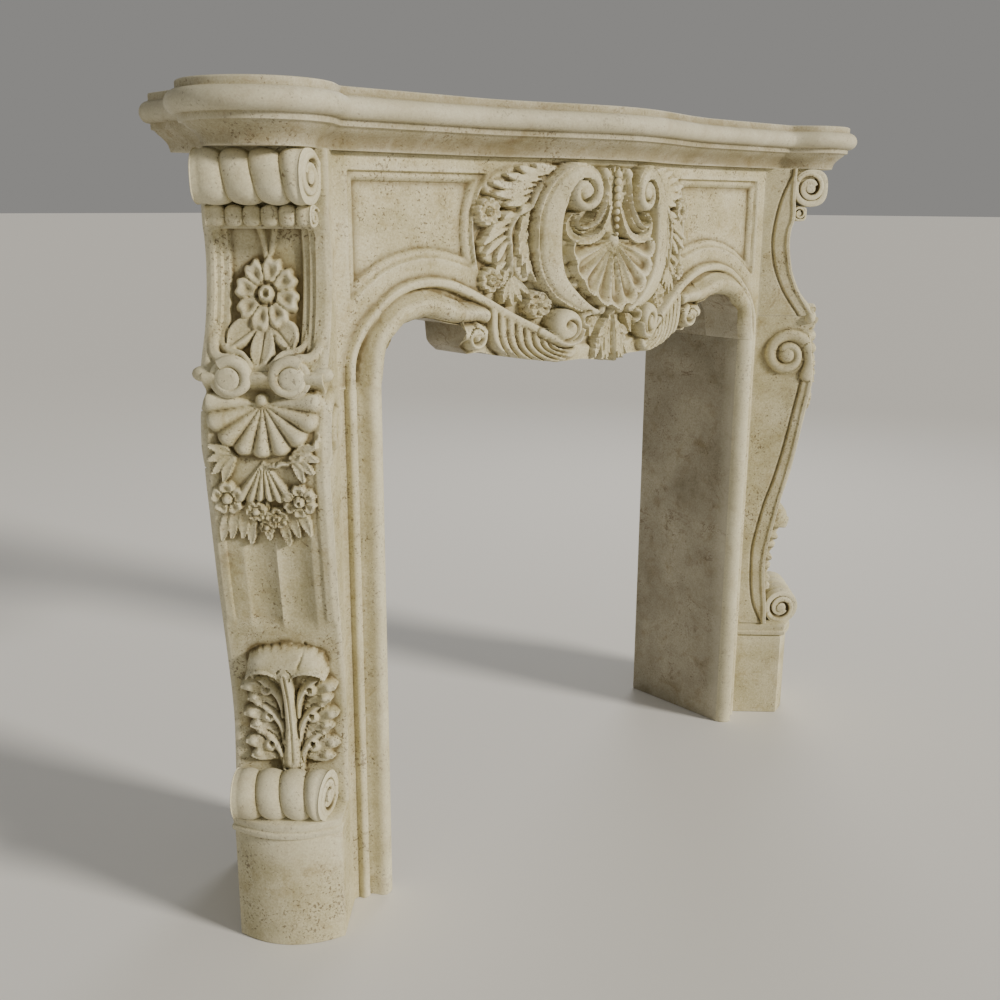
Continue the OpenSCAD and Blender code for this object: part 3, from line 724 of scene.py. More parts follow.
def carveCentre(r):
    # Hanging leaf, fan shell, then the strands and the two C-scrolls
    for k, tip in enumerate([(40, 14), (33, 30), (25, 8), (36, 48)]):
        r.leaflet((9 - 2 * k % 3, 76 - 4 * k), tip, 7.5, 15 + k, 0.05)
    r.leaflet((0, 84), (0, 4), 11, 20, 0.0, ribbed)
    r.leaflet((6, 82), (15, 8), 7.5, 17, 0.04)
    for k, (x, z) in enumerate([(62, 60), (52, 50), (46, 66)]):
        r.leaflet((38, 82), (x, z), 6.5, 13, 0.05)
    r.shell((0, 201), [124, 122, 118, 113, 108], -90, 96, 15, 5, 14, False)
    r.shell((0, 203), [113, 110, 107, 105, 104], -90, 92, 9, 9, 21, True, 7.0)
    r.disc((0, 203), 13, 13, 0.5)
    cross = [(10, 263), (22, 233), (39, 212), (72, 204), (98, 213), (103, 232), (93, 244)]
    r.strand(smoothPath(cross, 6), [3.5, 5.5, 7.5, 7.5, 5.0], [13, 16, 18, 20, 18], scooped, 0, 1.5)
    inner = [(28, 311), (29, 295), (31, 275), (37, 252), (55, 231), (78, 224), (91, 231), (86, 243)]
    r.strand(smoothPath(inner, 6), [9, 9, 9, 8.5, 5.5], [17, 20, 23, 25, 23], ribbed, 0, 1.5)
    r.disc((28, 309), 9.5, 19, 0.6)
    for x, z, tipX, tipZ in [(8, 290, 17, 318), (6, 300, 6, 322), (10, 262, 22, 284), (9, 276, 20, 302)]:
        r.leaflet((x, z - 14), (tipX, tipZ), 4.5, 13, 0.05)
    sweep = smoothPath([(40, 88), (56, 92), (88, 108), (121, 134), (137, 168), (141, 208), (137, 250),
                        (122, 282), (101, 304)], 6)
    big = np.vstack([sweep[:-1], spiralPath((78, 279), 34, 12, 68, 1.25)])
    width = [5, 12, 19, 23, 24, 24, 22, 17, 11, 8, 7.5, 8]
    r.strand(big, width, [16, 22, 25, 27, 28, 28, 29, 30, 30, 29, 28, 27], rimmed, 0, 3)
    r.disc((78, 281), 15, 27, 0.8)
    r.pit((73, 268), 4.5, 9)
    r.groove(smoothPath([(73, 268), (64, 274), (62, 286), (70, 297)], 5), 2.0, 5)
    hook = smoothPath([(60, 86), (72, 82), (70, 70), (60, 66)], 5)
    r.strand(hook, [5, 4.5, 4], [20, 20, 18], roundBar, 0, 1)


def makeFrieze():
    x = np.concatenate([np.linspace(a, b, n, endpoint=False) for a, b, n in frieze["columns"]] + [[527.0]])
    low = np.interp(x, *np.array(frieze["underside"], float).T)
    share = np.linspace(0, 1, frieze["rows"])[:, None]
    # the rows level out quickly above the underside, so that its steps don't shear the mouldings
    up = share * layout["friezeHeight"] + low * (1 - share) ** 3
    across = np.broadcast_to(x, up.shape)
    r = Relief(across, up)
    carveMouldings(r)
    carveLeaves(r)
    carveScrolls(r)
    carveCentre(r)
    r.waver(0.35)
    h = r.grid().copy()
    for gap in (layout["friezeHeight"] - up, layout["friezeHalf"] - across):
        h -= 1.6 * (1 - ease(gap / 2.0))
    both = np.concatenate([-across[:, :0:-1], across], 1)
    upBoth = np.concatenate([up[:, :0:-1], up], 1)
    hBoth = np.concatenate([h[:, :0:-1], h], 1)
    front = np.stack([both, frontY(both) - hBoth, layout["joint"] + upBoth], -1)
    solid = Solid()

    def back(points):
        flat = points.copy()
        flat[:, 1] = layout["slabBack"]
        return flat

    solid.slab(front, back, 0, 1)
    piece = solid.piece("frieze_stone", [travertineCarved, travertineHoned], 60)
    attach(piece, "root")
    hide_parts("frieze")


makeFrieze()

pearls = {"count": 9, "bottom": 1054.0, "top": 1150.0, "small": 3.6, "large": 6.4, "stand": 12.0}


def makePearls():
    tree = bpy.data.node_groups.new("pearl_row", "GeometryNodeTree")
    tree.interface.new_socket("Geometry", in_out="INPUT", socket_type="NodeSocketGeometry")
    sockets = {}
    for label, kind, value in [("Count", "NodeSocketInt", pearls["count"]),
                               ("Small radius", "NodeSocketFloat", pearls["small"] / 1000),
                               ("Large radius", "NodeSocketFloat", pearls["large"] / 1000)]:
        socket = tree.interface.new_socket(label, in_out="INPUT", socket_type=kind)
        sockets[label] = (socket.identifier, value)
    tree.interface.new_socket("Geometry", in_out="OUTPUT", socket_type="NodeSocketGeometry")
    given = node(tree, "NodeGroupInput")
    y = frontY(np.array(0.0)) - pearls["stand"]
    line = node(tree, "GeometryNodeCurvePrimitiveLine", None,
                {"Start": (0, y / 1000, pearls["bottom"] / 1000), "End": (0, y / 1000, pearls["top"] / 1000)})
    points = node(tree, "GeometryNodeCurveToPoints", {"mode": "COUNT"}, None,
                  {"Curve": (line, "Curve"), "Count": (given, "Count")})
    ball = node(tree, "GeometryNodeMeshUVSphere", None, {"Segments": 20, "Rings": 12, "Radius": 1.0})
    # the pearls grow upwards, up to full size near the top
    index = node(tree, "GeometryNodeInputIndex")
    share = node(tree, "ShaderNodeMath", {"operation": "DIVIDE"}, None,
                 {0: (index, "Index"), 1: (given, "Count")})
    swell = node(tree, "ShaderNodeMapRange", None, {"From Min": 0.0, "From Max": 0.8},
                 {"Value": (share, "Value"), "To Min": (given, "Small radius"),
                  "To Max": (given, "Large radius")})
    put = node(tree, "GeometryNodeInstanceOnPoints", None, None,
               {"Points": (points, "Points"), "Instance": (ball, "Mesh"), "Scale": (swell, "Result")})
    real = node(tree, "GeometryNodeRealizeInstances", None, None, {"Geometry": (put, "Instances")})
    stone = node(tree, "GeometryNodeSetMaterial", None, {"Material": travertineCarved},
                 {"Geometry": (real, "Geometry")})
    node(tree, "NodeGroupOutput", None, None, {"Geometry": (stone, "Geometry")})
    holder = bpy.data.objects.new("pearl_holder", bpy.data.meshes.new("pearl_holder"))
    bpy.context.scene.collection.objects.link(holder)
    modifier = holder.modifiers.new("pearls", "NODES")
    modifier.node_group = tree
    for identifier, value in sockets.values():
        modifier[identifier] = value
    graph = bpy.context.evaluated_depsgraph_get()
    mesh = bpy.data.meshes.new_from_object(holder.evaluated_get(graph))
    holder.modifiers.remove(modifier)
    bpy.data.objects.remove(holder)
    mesh.name = "pearl_string"
    mesh.polygons.foreach_set("use_smooth", [True] * len(mesh.polygons))
    markHollows(mesh)
    piece = bpy.data.objects.new("pearl_string", mesh)
    bpy.context.scene.collection.objects.link(piece)
    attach(piece, "root")
    print("pearls", len(mesh.vertices))


makePearls()


def profileAt(line, z):
    reach, up = np.array(line, float).T
    path = smoothPath(np.stack([up, reach], 1), 8)
    return np.interp(z, path[:, 0], path[:, 1])


def columnTube(solid, side, levels, reachOf, frontRelief, sideRelief, backPath, backReach, step=1.9):
    # A carved block as loops round it: one side, the front, the other side, and plain points behind.
    # frontRelief(a, z) and sideRelief(f, z) carve it; backReach gives where each side ends behind.
    z = np.asarray(levels, float)
    reach = reachOf(z)
    n = int(2 * halfConsole / step)
    a = np.linspace(-halfConsole, halfConsole, n)
    front = Relief(*np.broadcast_arrays(a[None, :], z[:, None]))
    frontRelief(front)
    rise = front.grid()
    # the carving of the front dies away at its two corners
    rise = rise * ease((halfConsole - np.abs(a)) / 2.5)[None, :]
    m = 52
    share = np.linspace(0, 1, m)[:-1] ** 0.9
    loops = []
    sides = []
    for sign in (-1, 1):
        stop = backReach[0 if sign < 0 else 1]
        f = stop + share[None, :] * (reach[:, None] - stop)
        r = Relief(f, np.broadcast_to(z[:, None], f.shape))
        sideRelief(r, reachOf)
        out = r.grid() * ease((reach[:, None] - f) / 2.0)
        sides.append((f, out))
    f, out = sides[0]
    loops.append(cantedPlace(side, middle - halfConsole - out, f, z[:, None]))
    slope = np.gradient(reach, z)
    tilt = 1 / np.sqrt(1 + slope ** 2)
    frontZ = np.clip(z[:, None] - rise * (slope * tilt)[:, None], z.min(), z.max())
    loops.append(cantedPlace(side, middle + a[None, :], reach[:, None] + rise * tilt[:, None], frontZ))
    f, out = sides[1]
    loops.append(cantedPlace(side, middle + halfConsole + out, f, z[:, None])[:, ::-1])
    behind = np.array([[[side * x, y, up] for x, y in backPath] for up in z])
    loops.append(behind)
    solid.rings(np.concatenate(loops, 1))


innerSlope = 0.22  # the inner ends of the rolls are cut on a slant, so that they show from the front


def lathePlace(side, centre, direction):
    # Axes for turned work on a console: "across" for rolls, "forward" for bosses on its front
    a, f, z = centre

    def place(s, u, v):
        if direction == "across":
            return cantedPlace(side, middle + a + s, f + u, z + v)
        return cantedPlace(side, middle + a + u, f + s, z + v)

    return place


def squarer(u, v, power):
    # Pushes the front of a round section out towards its corners
    big = np.maximum(np.hypot(u, v), 1e-6)
    c, d = np.abs(u) / big, np.abs(v) / big
    swell = (c ** power + d ** power) ** (-1 / power)
    return np.where(u > 0, swell, 1.0)


def roll(solid, side, size):
    # A roll across the console: rounded lobes between flat end bands, and open, hollowed ends
    half, radius, lobes, groove = size["half"], size["radius"], size["lobes"], size["groove"]
    s = np.linspace(-half, half, 22 * lobes + 1)
    wave = np.abs(np.sin(math.pi * (s + half) / (2 * half) * lobes))
    r = radius - groove * (1 - wave ** 0.6)
    r = np.where(np.abs(s) > half - half / lobes, np.maximum(r, radius - 0.25 * groove), r)
    nub = size["nub"]
    # the end, as distance past the body and radius
    cap = [(1.2, radius - 0.6), (2.0, radius - 1.8), (2.0, radius * 0.74), (1.0, radius * 0.69),
           (-6.0, radius * 0.64), (-9.5, radius * 0.54), (-10.0, radius * 0.34), (-7.0, radius * 0.28),
           (nub * 0.70, radius * 0.26), (nub, radius * 0.15), (nub, 0.4)]
    low = [(-half - past, wide) for past, wide in cap[::-1]]
    high = [(half + past, wide) for past, wide in cap]
    base = lathePlace(side, size["centre"], "across")

    def place(axial, u, v):
        inner = np.clip((-axial - 0.55 * half) / (0.45 * half), 0, 1)
        lean = size["lean"] * v / radius * np.clip(1 - (abs(axial) / half) ** 2, 0, 1)
        out = squarer(u, v, size["square"])
        return base(axial + innerSlope * inner * (u + radius) + lean, u * out, v * out)

    solid.turned(place, low + list(zip(s, r)) + high, 60)


def coil(solid, place, outer, inner, start, turns, width, height, foot):
    # A rounded band that winds in to its eye; place(s, u, v) puts it
    path = spiralPath((0, 0), outer, inner, start, turns)
    along = np.gradient(path, axis=0)
    along = along / np.linalg.norm(along, axis=1)[:, None]
    share = np.linspace(0, 1, len(path))
    half = np.interp(share, np.linspace(0, 1, len(width)), width)
    tall = np.interp(share, np.linspace(0, 1, len(height)), height)
    angle = np.linspace(0, 2 * math.pi, 16, endpoint=False)
    aside = np.sign(np.cos(angle)) * np.abs(np.cos(angle)) ** 0.75
    rings = []
    for i in range(len(path)):
        upward = np.where(np.sin(angle) > 0, tall[i] * np.abs(np.sin(angle)) ** 0.8, -foot)
        u = path[i, 0] + along[i, 1] * half[i] * aside
        v = path[i, 1] - along[i, 0] * half[i] * aside
        rings.append(place(upward, u, v))
    solid.rings(np.array(rings))


def endCoils(solid, side, size):
    # The band on each side of the block runs into the ends of a roll
    a, f, z = size["centre"]
    radius = size["radius"]
    band = radius * 0.15
    for s in (-1, 1):
        base = lathePlace(side, (a + s * (size["half"] + 1.0), f, z), "across")

        def place(up, u, v):
            tilt = innerSlope * (u + radius) if s < 0 else 0.0
            return base(s * up + tilt, u, v)

        coil(solid, place, radius - band - 0.5, radius * 0.30, size["start"], size["turns"],
             [band * 0.8, band, band * 1.05, band, band * 0.9], [3.2, 3.2, 3.0, 2.0, 0.5], 9.0)


def frontVolute(solid, side, centre, hand):
    # The side band turns over on the front and winds round a flat button
    base = lathePlace(side, centre, "forward")
    button = [(-26, 24), (-4, 26), (1.5, 26.5), (2.6, 25), (2.8, 18.5), (3.4, 16.8), (7.4, 15.8), (9.0, 13.2),
              (9.4, 8.0), (9.4, 0.3)]
    solid.turned(lambda s, u, v: base(s, u + hand * 3.0, v - 1.0), button, 40)
    coil(solid, base, 23.5, 17.0, 90 - hand * 40, hand * 0.98, [8.0, 8.2, 7.2, 6.0, 4.0],
         [8.0, 9.5, 10.0, 9.0, 7.0], 6.0)


def ball(solid, side, centre, radius, stretch):
    t = np.linspace(-1, 1, 15)
    profile = [(radius * stretch * k, max(radius * math.sqrt(max(1 - k * k, 0)), 0.2)) for k in t]
    solid.turned(lathePlace(side, centre, "across"), profile, 22)


corbel = {
    # how far its front stands out, as (reach, height)
    "reach": [(117, 876), (117, 883), (104, 905), (87, 930), (72, 963), (64, 995), (60, 1027), (62, 1056),
              (66, 1068), (68, 1080), (68, 1092), (67, 1104), (66, 1116), (66, 1172), (66, 1180)],
    "panelMiddle": 4.0,
    "fillets": [(51, 7.0), (61, 3.5), (69, 2.0)],  # half width of each sunk step, and its depth
    # the great roll on top and the row of knobs under it
    "rolls": [
        {"centre": (1.0, 97.0, 1135.0), "half": 77, "radius": 36.5, "lobes": 4, "groove": 7.0, "lean": 8.0,
         "nub": 4.0, "square": 2.7, "start": 150, "turns": -1.35},
        {"centre": (1.0, 79.0, 1085.0), "half": 72, "radius": 15.0, "lobes": 6, "groove": 6.0, "lean": 0.0,
         "nub": 1.0, "square": 3.4, "start": 150, "turns": -1.2},
    ],
}


def corbelFront(r):
    m = corbel["panelMiddle"]
    top = ease((1068 - r.b) / 2.5)
    for half, depth in corbel["fillets"]:
        foot = 892 + (half - 51) * 0.4
        inX = (half - np.abs(r.a - m)) / 2.2
        r.h -= depth * ease(inX) * top * ease((r.b - foot) / 2.5)
    r.h[(r.b < 1066) & (np.abs(r.a - m) > 69)] += 1.0
    ground = -12.0
    for s, x in ((-1, 15), (1, 8)):
        ribbon = smoothPath([(m + s * x, 1068), (m + s * (x - 5), 1050), (m + s, 1022)], 5)
        r.strand(ribbon, [5.0, 4.0, 3], [4.5, 4.5, 4], flatBar, ground, 0)
    for tip, root, bend in [((m + 3, 889), (m, 948), 0.0), ((m + 46, 916), (m + 6, 946), 0.14),
                            ((m - 38, 914), (m - 6, 946), -0.14)]:
        r.leaflet(root, tip, 17, 15, bend, scooped, ground)
        r.groove(np.array([root, (np.array(root) + tip) / 2, np.array(tip)], float), 1.2, 3)
    r.flower((m, 982), 51, 8, 18, 0.25, 12.9, 0.92, ground, 0.11)
    # the frame turns inwards over the volutes
    for s in (-1, 1):
        outer = smoothPath([(s * 73, 935), (s * 72, 912), (s * 62, 899), (s * 44, 896), (s * 26, 885)], 6)
        r.strand(outer, [6.5, 6.5, 7, 7, 6], [1.5, 4, 7, 9, 11], flatBar, -1, 0.8)
        second = smoothPath([(m + s * 59, 940), (m + s * 57, 920), (m + s * 46, 909), (m + s * 28, 904),
                             (m + s * 14, 889)], 6)
        r.strand(second, [4.5, 4.5, 5, 5, 4.5], [1, 4, 7, 9, 11], flatBar, -6, 0.6)


def corbelSide(r, reachOf):
    # A raised band follows the front and winds into the top and foot volutes
    groove = smoothPath([(88, 884), (82, 893), (64, 918), (50, 942), (35, 979), (28, 1015), (27, 1043),
                         (32, 1083), (42, 1123), (58, 1160)], 6)
    edge = np.interp(r.b, groove[:, 1], groove[:, 0])
    band = ease((r.a - edge) / 2.0)
    r.h += 5.0 * band
    front = reachOf(r.b)
    inner = ease((front - 7 - r.a) / 2.0) * band
    r.h -= 2.6 * inner
    r.h -= 3.4 * np.exp(-((r.a - edge + 1.0) / 2.6) ** 2)


def makeCorbel(side, name, cadName):
    solid = Solid()
    z = np.concatenate([np.linspace(layout["ledge"], 889, 5, endpoint=False),
                        np.linspace(889, 1070, 96, endpoint=False),
                        np.linspace(1070, topZ - 2, 38, endpoint=False), [topZ - 2, topZ - 0.8, topZ]])

    def reachOf(up):
        return profileAt(corbel["reach"], up)

    backPath = [(590, 98.8), (590, 15.4), (527.4, 15.4), (527.4, -57.6)]
    columnTube(solid, side, z, reachOf, corbelFront, corbelSide, backPath, (3.2, -57.0), 1.7)
    for size in corbel["rolls"]:
        roll(solid, side, size)
        endCoils(solid, side, size)
    # stone between the roll and the shelf
    plan = ((-66, 50), (-66, 104), (68, 104), (68, 50))
    levels = (1130.0, 1150.0, topZ - 1.0, topZ)
    solid.rings(np.array([[cantedPlace(side, middle + a, f, up) for a, f in plan] for up in levels]))
    piece = solid.piece(name, [travertineCarved])
    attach(piece, "root")
    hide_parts(cadName)


makeCorbel(-1, "left_corbel_stone", "left_corbel")
makeCorbel(1, "right_corbel_stone", "right_corbel")

console = {
    # how far its front stands out, as (reach, height)
    "reach": [(64, 205), (64, 212), (62, 252), (58, 292), (54, 339), (58, 386), (68, 440), (80, 500),
              (94, 561), (104, 615), (115, 682), (123, 729), (125, 762), (120, 802), (116, 836), (111, 850),
              (112, 857), (124, 866), (128.5, 873), (128, 879), (120, 883), (116, 890)],
    "leafMiddle": -4.0,
    "leafFoot": 280.0,
    "roll": {"centre": (2.0, 99.0, 243.0), "half": 72, "radius": 38.0, "lobes": 4, "groove": 7.0, "lean": 6.0,
             "nub": 7.0, "square": 2.0, "start": 200, "turns": 1.35},
    "volutes": [((-36.0, 122.0, 874.0), -1), ((43.0, 122.0, 874.0), 1)],
}


def consoleLeaf(r):
    # Acanthus on the foot: a double rib, three pairs of lobes with drilled eyes, a tip that rolls over
    m = console["leafMiddle"]
    low = console["leafFoot"]
    r.mass([(m - 40, low), (m + 40, low), (m + 56, 322), (m + 58, 372), (m + 56, 418), (m + 46, 446),
            (m, 452), (m - 46, 446), (m - 58, 418), (m - 60, 372), (m - 58, 322)], 9, 8)
    # where each finger starts, where it ends, and its half width
    fingers = [((12, -20), (60, -19), 11), ((6, -8), (68, 3), 12), ((2, 6), (56, 26), 10)]
    for row, z in enumerate((308, 357, 406)):
        tall = 14 + 3 * row
        for s in (-1, 1):
            eye = np.array([m + 31 * s, z])
            # rounded fingers on the outer edge of the lobe
            for (dx, dz), (ex, ez), w in fingers:
                root = (m + s * (16 + dx), z + dz - 4)
                r.leaflet(root, (m + s * ex, z + ez), w, tall, 0.10 * s, softHollow)
                r.disc((m + s * (ex - 8), z + 0.82 * ez), w - 1.5, tall, 0.45)
            # the rib that sweeps up past the eye
            rib = smoothPath([(m + 12 * s, z - 52), (m + 14 * s, z - 28), (m + 21 * s, z - 7),
                              (m + 36 * s, z + 12), (m + 50 * s, z + 20)], 6)
            r.strand(rib, [4, 6, 7, 7, 5], [tall - 5, tall - 2, tall, tall, tall - 3], roundBar, 0, 1.2)
            r.disc(eye + [2 * s, -3], 11, tall, 0.8)
            r.pit(eye, 4.4, 15)
            r.groove(smoothPath([(m + 15 * s, z - 46), (m + 20 * s, z - 20), (m + 28 * s, z - 8)], 5), 1.8, 4)
    # the tip rolls forward: a plain swell over a hollow, with a raised rim on each side of the rib
    w = np.nonzero((r.b > 422) & (r.b < 487) & (np.abs(r.a - m) < 62))[0]
    a, z = r.a[w] - m, r.b[w]
    width = np.interp(z, [424, 444, 462, 470, 475], [58, 60, 54, 40, 8])
    under = 428 + 17 * np.clip(np.sin(math.pi * np.clip((np.abs(a) - 4) / 54, 0, 1)), 0, 1) ** 0.6
    inside = (np.abs(a) < width) & (z > under)
    swell = 36 * np.sqrt(np.clip(1 - ((z - 446) / 30.0) ** 2, 0, 1))
    swell = swell * np.clip(1 - (np.abs(a) / width) ** 6, 0, 1) ** 0.5
    r.lift(w[inside], (swell * (1 - 0.10 * (np.abs(a) / 60) ** 2))[inside])
    hollow = (np.abs(a) < 50) & (np.abs(a) > 9) & (z < under) & (z > 423)
    r.h[w[hollow]] = np.minimum(r.h[w[hollow]], 8)
    for s in (-1, 1):
        rim = smoothPath([(m + 8 * s, 430), (m + 15 * s, 442), (m + 32 * s, 448), (m + 50 * s, 442),
                          (m + 58 * s, 432)], 6)
        r.strand(rim, [3, 3.8, 4.4, 3.8, 3], [34, 39, 40, 37, 32], roundBar, 0, 0)
    stem = smoothPath([(m, low), (m, 330), (m, 385), (m, 441)], 6)
    r.strand(stem, [15, 10, 9.5, 10.5], [16, 20, 26, 39], doubled, 0, 1.2)
    r.groove(smoothPath([(m - 20, 453), (m - 26, 467), (m - 28, 479)], 5), 1.6, 4)


def consoleDrop(r):
    # Shell under the volutes, then tufts, flowers and hanging leaves
    tufts = [(70, 646), (56, 650), (29, 642), (40, 650), (-24, 640), (-38, 652), (-55, 655), (3, 648)]
    for tx, tz in tufts:
        r.leaflet((tx * 0.72, tz + 56), (tx, tz), 8.0, 9, 0.03)
    r.shell((4, 762), [56, 64, 72], -90, 40, 6, 3, 14, False)
    for s, x in ((-1, -45), (1, 53)):
        for turn in (-20, 8, 36, 62):
            way = np.array([s * math.cos(math.radians(turn)), -math.sin(math.radians(turn))])
            root = np.array([x - 12 * s, 768])
            r.leaflet(root, root + way * 38, 6.8, 12, 0.06 * s)
    r.flower((56, 709), 25, 5, 15, 0.30, 90, 1.0)
    r.flower((-43, 705), 25, 6, 15, 0.32, 30, 1.0, 0, 0.12)
    r.flower((-10, 680), 17, 5, 13, 0.34, 18, 1.0, 0, 0.2)
    r.flower((18, 690), 16, 6, 13, 0.34, 0, 1.0)
    r.flower((5, 666), 12, 5, 11, 0.36, 54, 1.0)
    r.shell((3.7, 838), [72, 75, 78, 81, 82], -90, 104, 9, 3, 19, False)
    # a worn rim is left along the lip on one side
    lip = smoothPath([(-74, 800), (-68, 782), (-50, 766), (-26, 758), (0, 753)], 8)
    wear = 0.8 * np.sin(np.arange(len(lip)) * 1.3) + 0.6 * np.sin(np.arange(len(lip)) * 2.9)
    r.strand(lip + wear[:, None], [1.5, 3.5, 3, 4, 2.5, 3.5, 2], [3, 10, 8, 11, 8, 10, 5], roundBar, 0, 0)
    r.disc((3.7, 843), 9, 12, 0.6)


def consoleFront(r):
    # two shallow flutes with a ridge between
    for lowX, highX in ((-53, -5), (-3, 42)):
        mid = (lowX + highX) / 2
        half = (highX - lowX) / 2
        inX = np.clip(1 - ((r.a - mid) / half) ** 2, 0, 1) ** 0.8
        r.h -= 5.5 * inX * ease((r.b - 492) / 30) * ease((668 - r.b) / 20)
    edge = ease((np.abs(r.a) - 66) / 2.0) * ease((r.b - 505) / 20) * ease((850 - r.b) / 12)
    r.h += 2.0 * edge
    consoleLeaf(r)
    consoleDrop(r)
    r.waver(0.3)


def consoleSide(r, reachOf):
    # A raised band follows the front and winds into the side volute
    groove = smoothPath([(56, 205), (54, 213), (36, 252), (28, 291), (25, 336), (25, 387), (34, 438),
                         (45, 488), (60, 537), (76, 604), (91, 683), (102, 742), (109, 792), (112, 851),
                         (112, 884)], 5)
    edge = np.interp(r.b, groove[:, 1], groove[:, 0])
    on = ease((r.a - edge) / 2.0) * ease((862 - r.b) / 6)
    r.h += 5.0 * on
    front = reachOf(r.b)
    r.h -= 2.4 * ease((front - 8 - r.a) / 2.0) * on
    r.h -= 3.4 * np.exp(-((r.a - edge + 1.0) / 2.6) ** 2) * ease((790 - r.b) / 8)
    r.volute((69, 802), 47, 17, 15, 1.3, [13, 12, 10.5, 8.5], [8.5, 9, 10, 11], 1.0)
    into = smoothPath([(112, 760), (119, 790), (114, 815)], 5)
    r.strand(into, [13, 13, 12.5], [8, 8.5, 8.5], roundBar, 0, 1.2)


def consoleLevels():
    return np.concatenate([np.linspace(212.5, 640, 210, endpoint=False),
                           np.linspace(640, 850, 116, endpoint=False), np.linspace(850, 882.6, 24)])


def bowedPlan(side, half, out, bow, tail, up):
    # Front edge bowed forward, straight sides, two points behind
    a = np.linspace(-half, half, 41)
    f = out + bow * (1 - (a / half) ** 2)
    front = cantedPlace(side, middle + a, f, up)
    left = cantedPlace(side, np.full(6, middle - half), np.linspace(2, out, 7)[:-1], up)
    right = cantedPlace(side, np.full(8, middle + half), np.linspace(out, tail, 9)[1:], up)
    behind = np.array([[side * 590.0, 98.0, up], [side * 540.0, -40.0, up]])
    return np.concatenate([left, front, right, behind])


def jambPlan(side, up, inset):
    # Plan of the moulding and the block behind the console
    torus = [(450 + o, -60 - t) for o, t in frieze["torus"][:-1]]
    bead = [(492.5, -61), (493, -66), (495, -69), (498, -70), (502, -70), (505, -69), (507, -66),
            (508, -60.5), (509, -58.5), (511, -58.5), (512, -60)]
    flat = [(520, -60), (527, -60), (540, -60), (560, -40), (590, -10), (629.5, 29.0 + 26.5)]
    rest = [(610, 77), (590, 97.5), (590, 140), (590, 173), (588, 175), (520, 175), (453, 175), (450, 172),
            (450, 100), (450, 30), (450, -30), (450, -58)]
    plan = np.array(torus + bead + flat + rest, float)
    centre = np.array([540.0, 40.0])
    away = plan - centre
    plan = plan - inset * away / np.linalg.norm(away, axis=1)[:, None]
    return np.column_stack([side * plan[:, 0], plan[:, 1], np.full(len(plan), up)])


def makeJamb(side, name, cadName):
    solid = Solid()
    # block and moulding, with a fine arris at the joint
    levels = [(0.0, 1.5), (1.5, 0.0)] + [(z, 0.0) for z in np.linspace(60, 780, 13)]
    levels += [(838.6, 0.0), (840.0, 1.2)]
    rings = np.array([jambPlan(side, z, inset) for z, inset in levels])
    block = Solid()
    block.rings(rings)
    # upstand of the return, behind the frieze
    x0, x1, y0, y1 = layout["opening"] / 2, 590.0, layout["slabBack"] + 0.6, layout["wall"]
    plan = [(x0, y0 + 1.5), (x0 + 1.5, y0), (x1 - 1.5, y0), (x1, y0 + 1.5), (x1, y1 - 1.5), (x1 - 1.5, y1),
            (x0 + 1.5, y1), (x0, y1 - 1.5)]
    stack = []
    for z, inset in [(840.0, 1.2), (841.5, 0.0), (topZ - 1.5, 0.0), (topZ, 1.2)]:
        stack.append([[side * (x + inset * (1 if x < 520 else -1)), y + inset * (1 if y < 90 else -1), z]
                      for x, y in plan])
    block.rings(np.array(stack))
    points = np.vstack(block.points)
    # the return's inner face and its back are honed, not carved
    honed = []
    for face in block.faces:
        at = points[list(face)]
        inner = np.all(np.abs(np.abs(at[:, 0]) - 450) < 1.6) and at[:, 1].max() > -59
        plain = np.all(at[:, 1] > 172)
        honed.append(1 if len(face) == 4 and (inner or plain) else 0)
    solid.add(points, block.faces)
    solid.finish[-len(honed):] = honed
    upper = [(527.5, -59.9), (540, -59.9), (560, -40), (590, -10), (629.5, 55.5), (610, 77), (590, 97.5),
             (590, 15.2), (527.5, 15.2)]
    solid.rings(np.array([[[side * x, y, z] for x, y in upper] for z in (838.0, 860.0, 882.5)]))
    # plinth and its cap
    plinth = [(0.0, 1.2), (1.5, 0), (60, 0), (120, 0), (178, 0), (180.6, 1.0), (181.2, 5.0), (184.8, 5.0)]
    solid.rings(np.array([bowedPlan(side, halfConsole - i, 98 - i, 26, -57, z) for z, i in plinth]))
    cap = [(184.0, 3.0), (184.8, -1.0), (187, -2.2), (192, -2.6), (194, -1.0), (195, 0.2), (204, -1.6),
           (208, -1.0), (209.6, 1.6), (211.6, 5.5), (213, 12)]
    solid.rings(np.array([bowedPlan(side, halfConsole - i, 103 - i, 26, -57, z) for z, i in cap]))

    def reachOf(up):
        return profileAt(console["reach"], up)

    backPath = [(590, 97), (575, 20), (540, -45)]
    columnTube(solid, side, consoleLevels(), reachOf, consoleFront, consoleSide, backPath, (1.0, -56.0))
    roll(solid, side, console["roll"])
    endCoils(solid, side, console["roll"])
    for centre, hand in console["volutes"]:
        frontVolute(solid, side, centre, hand)
    for s in (-1, 1):
        ball(solid, side, (2 + s * 80, 112.0, 878.0), 11.0, 1.5)
    piece = solid.piece(name, [travertineCarved, travertineHoned])
    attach(piece, "root")
    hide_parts(cadName)


makeJamb(-1, "left_jamb_stone", "left_jamb")
makeJamb(1, "right_jamb_stone", "right_jamb")

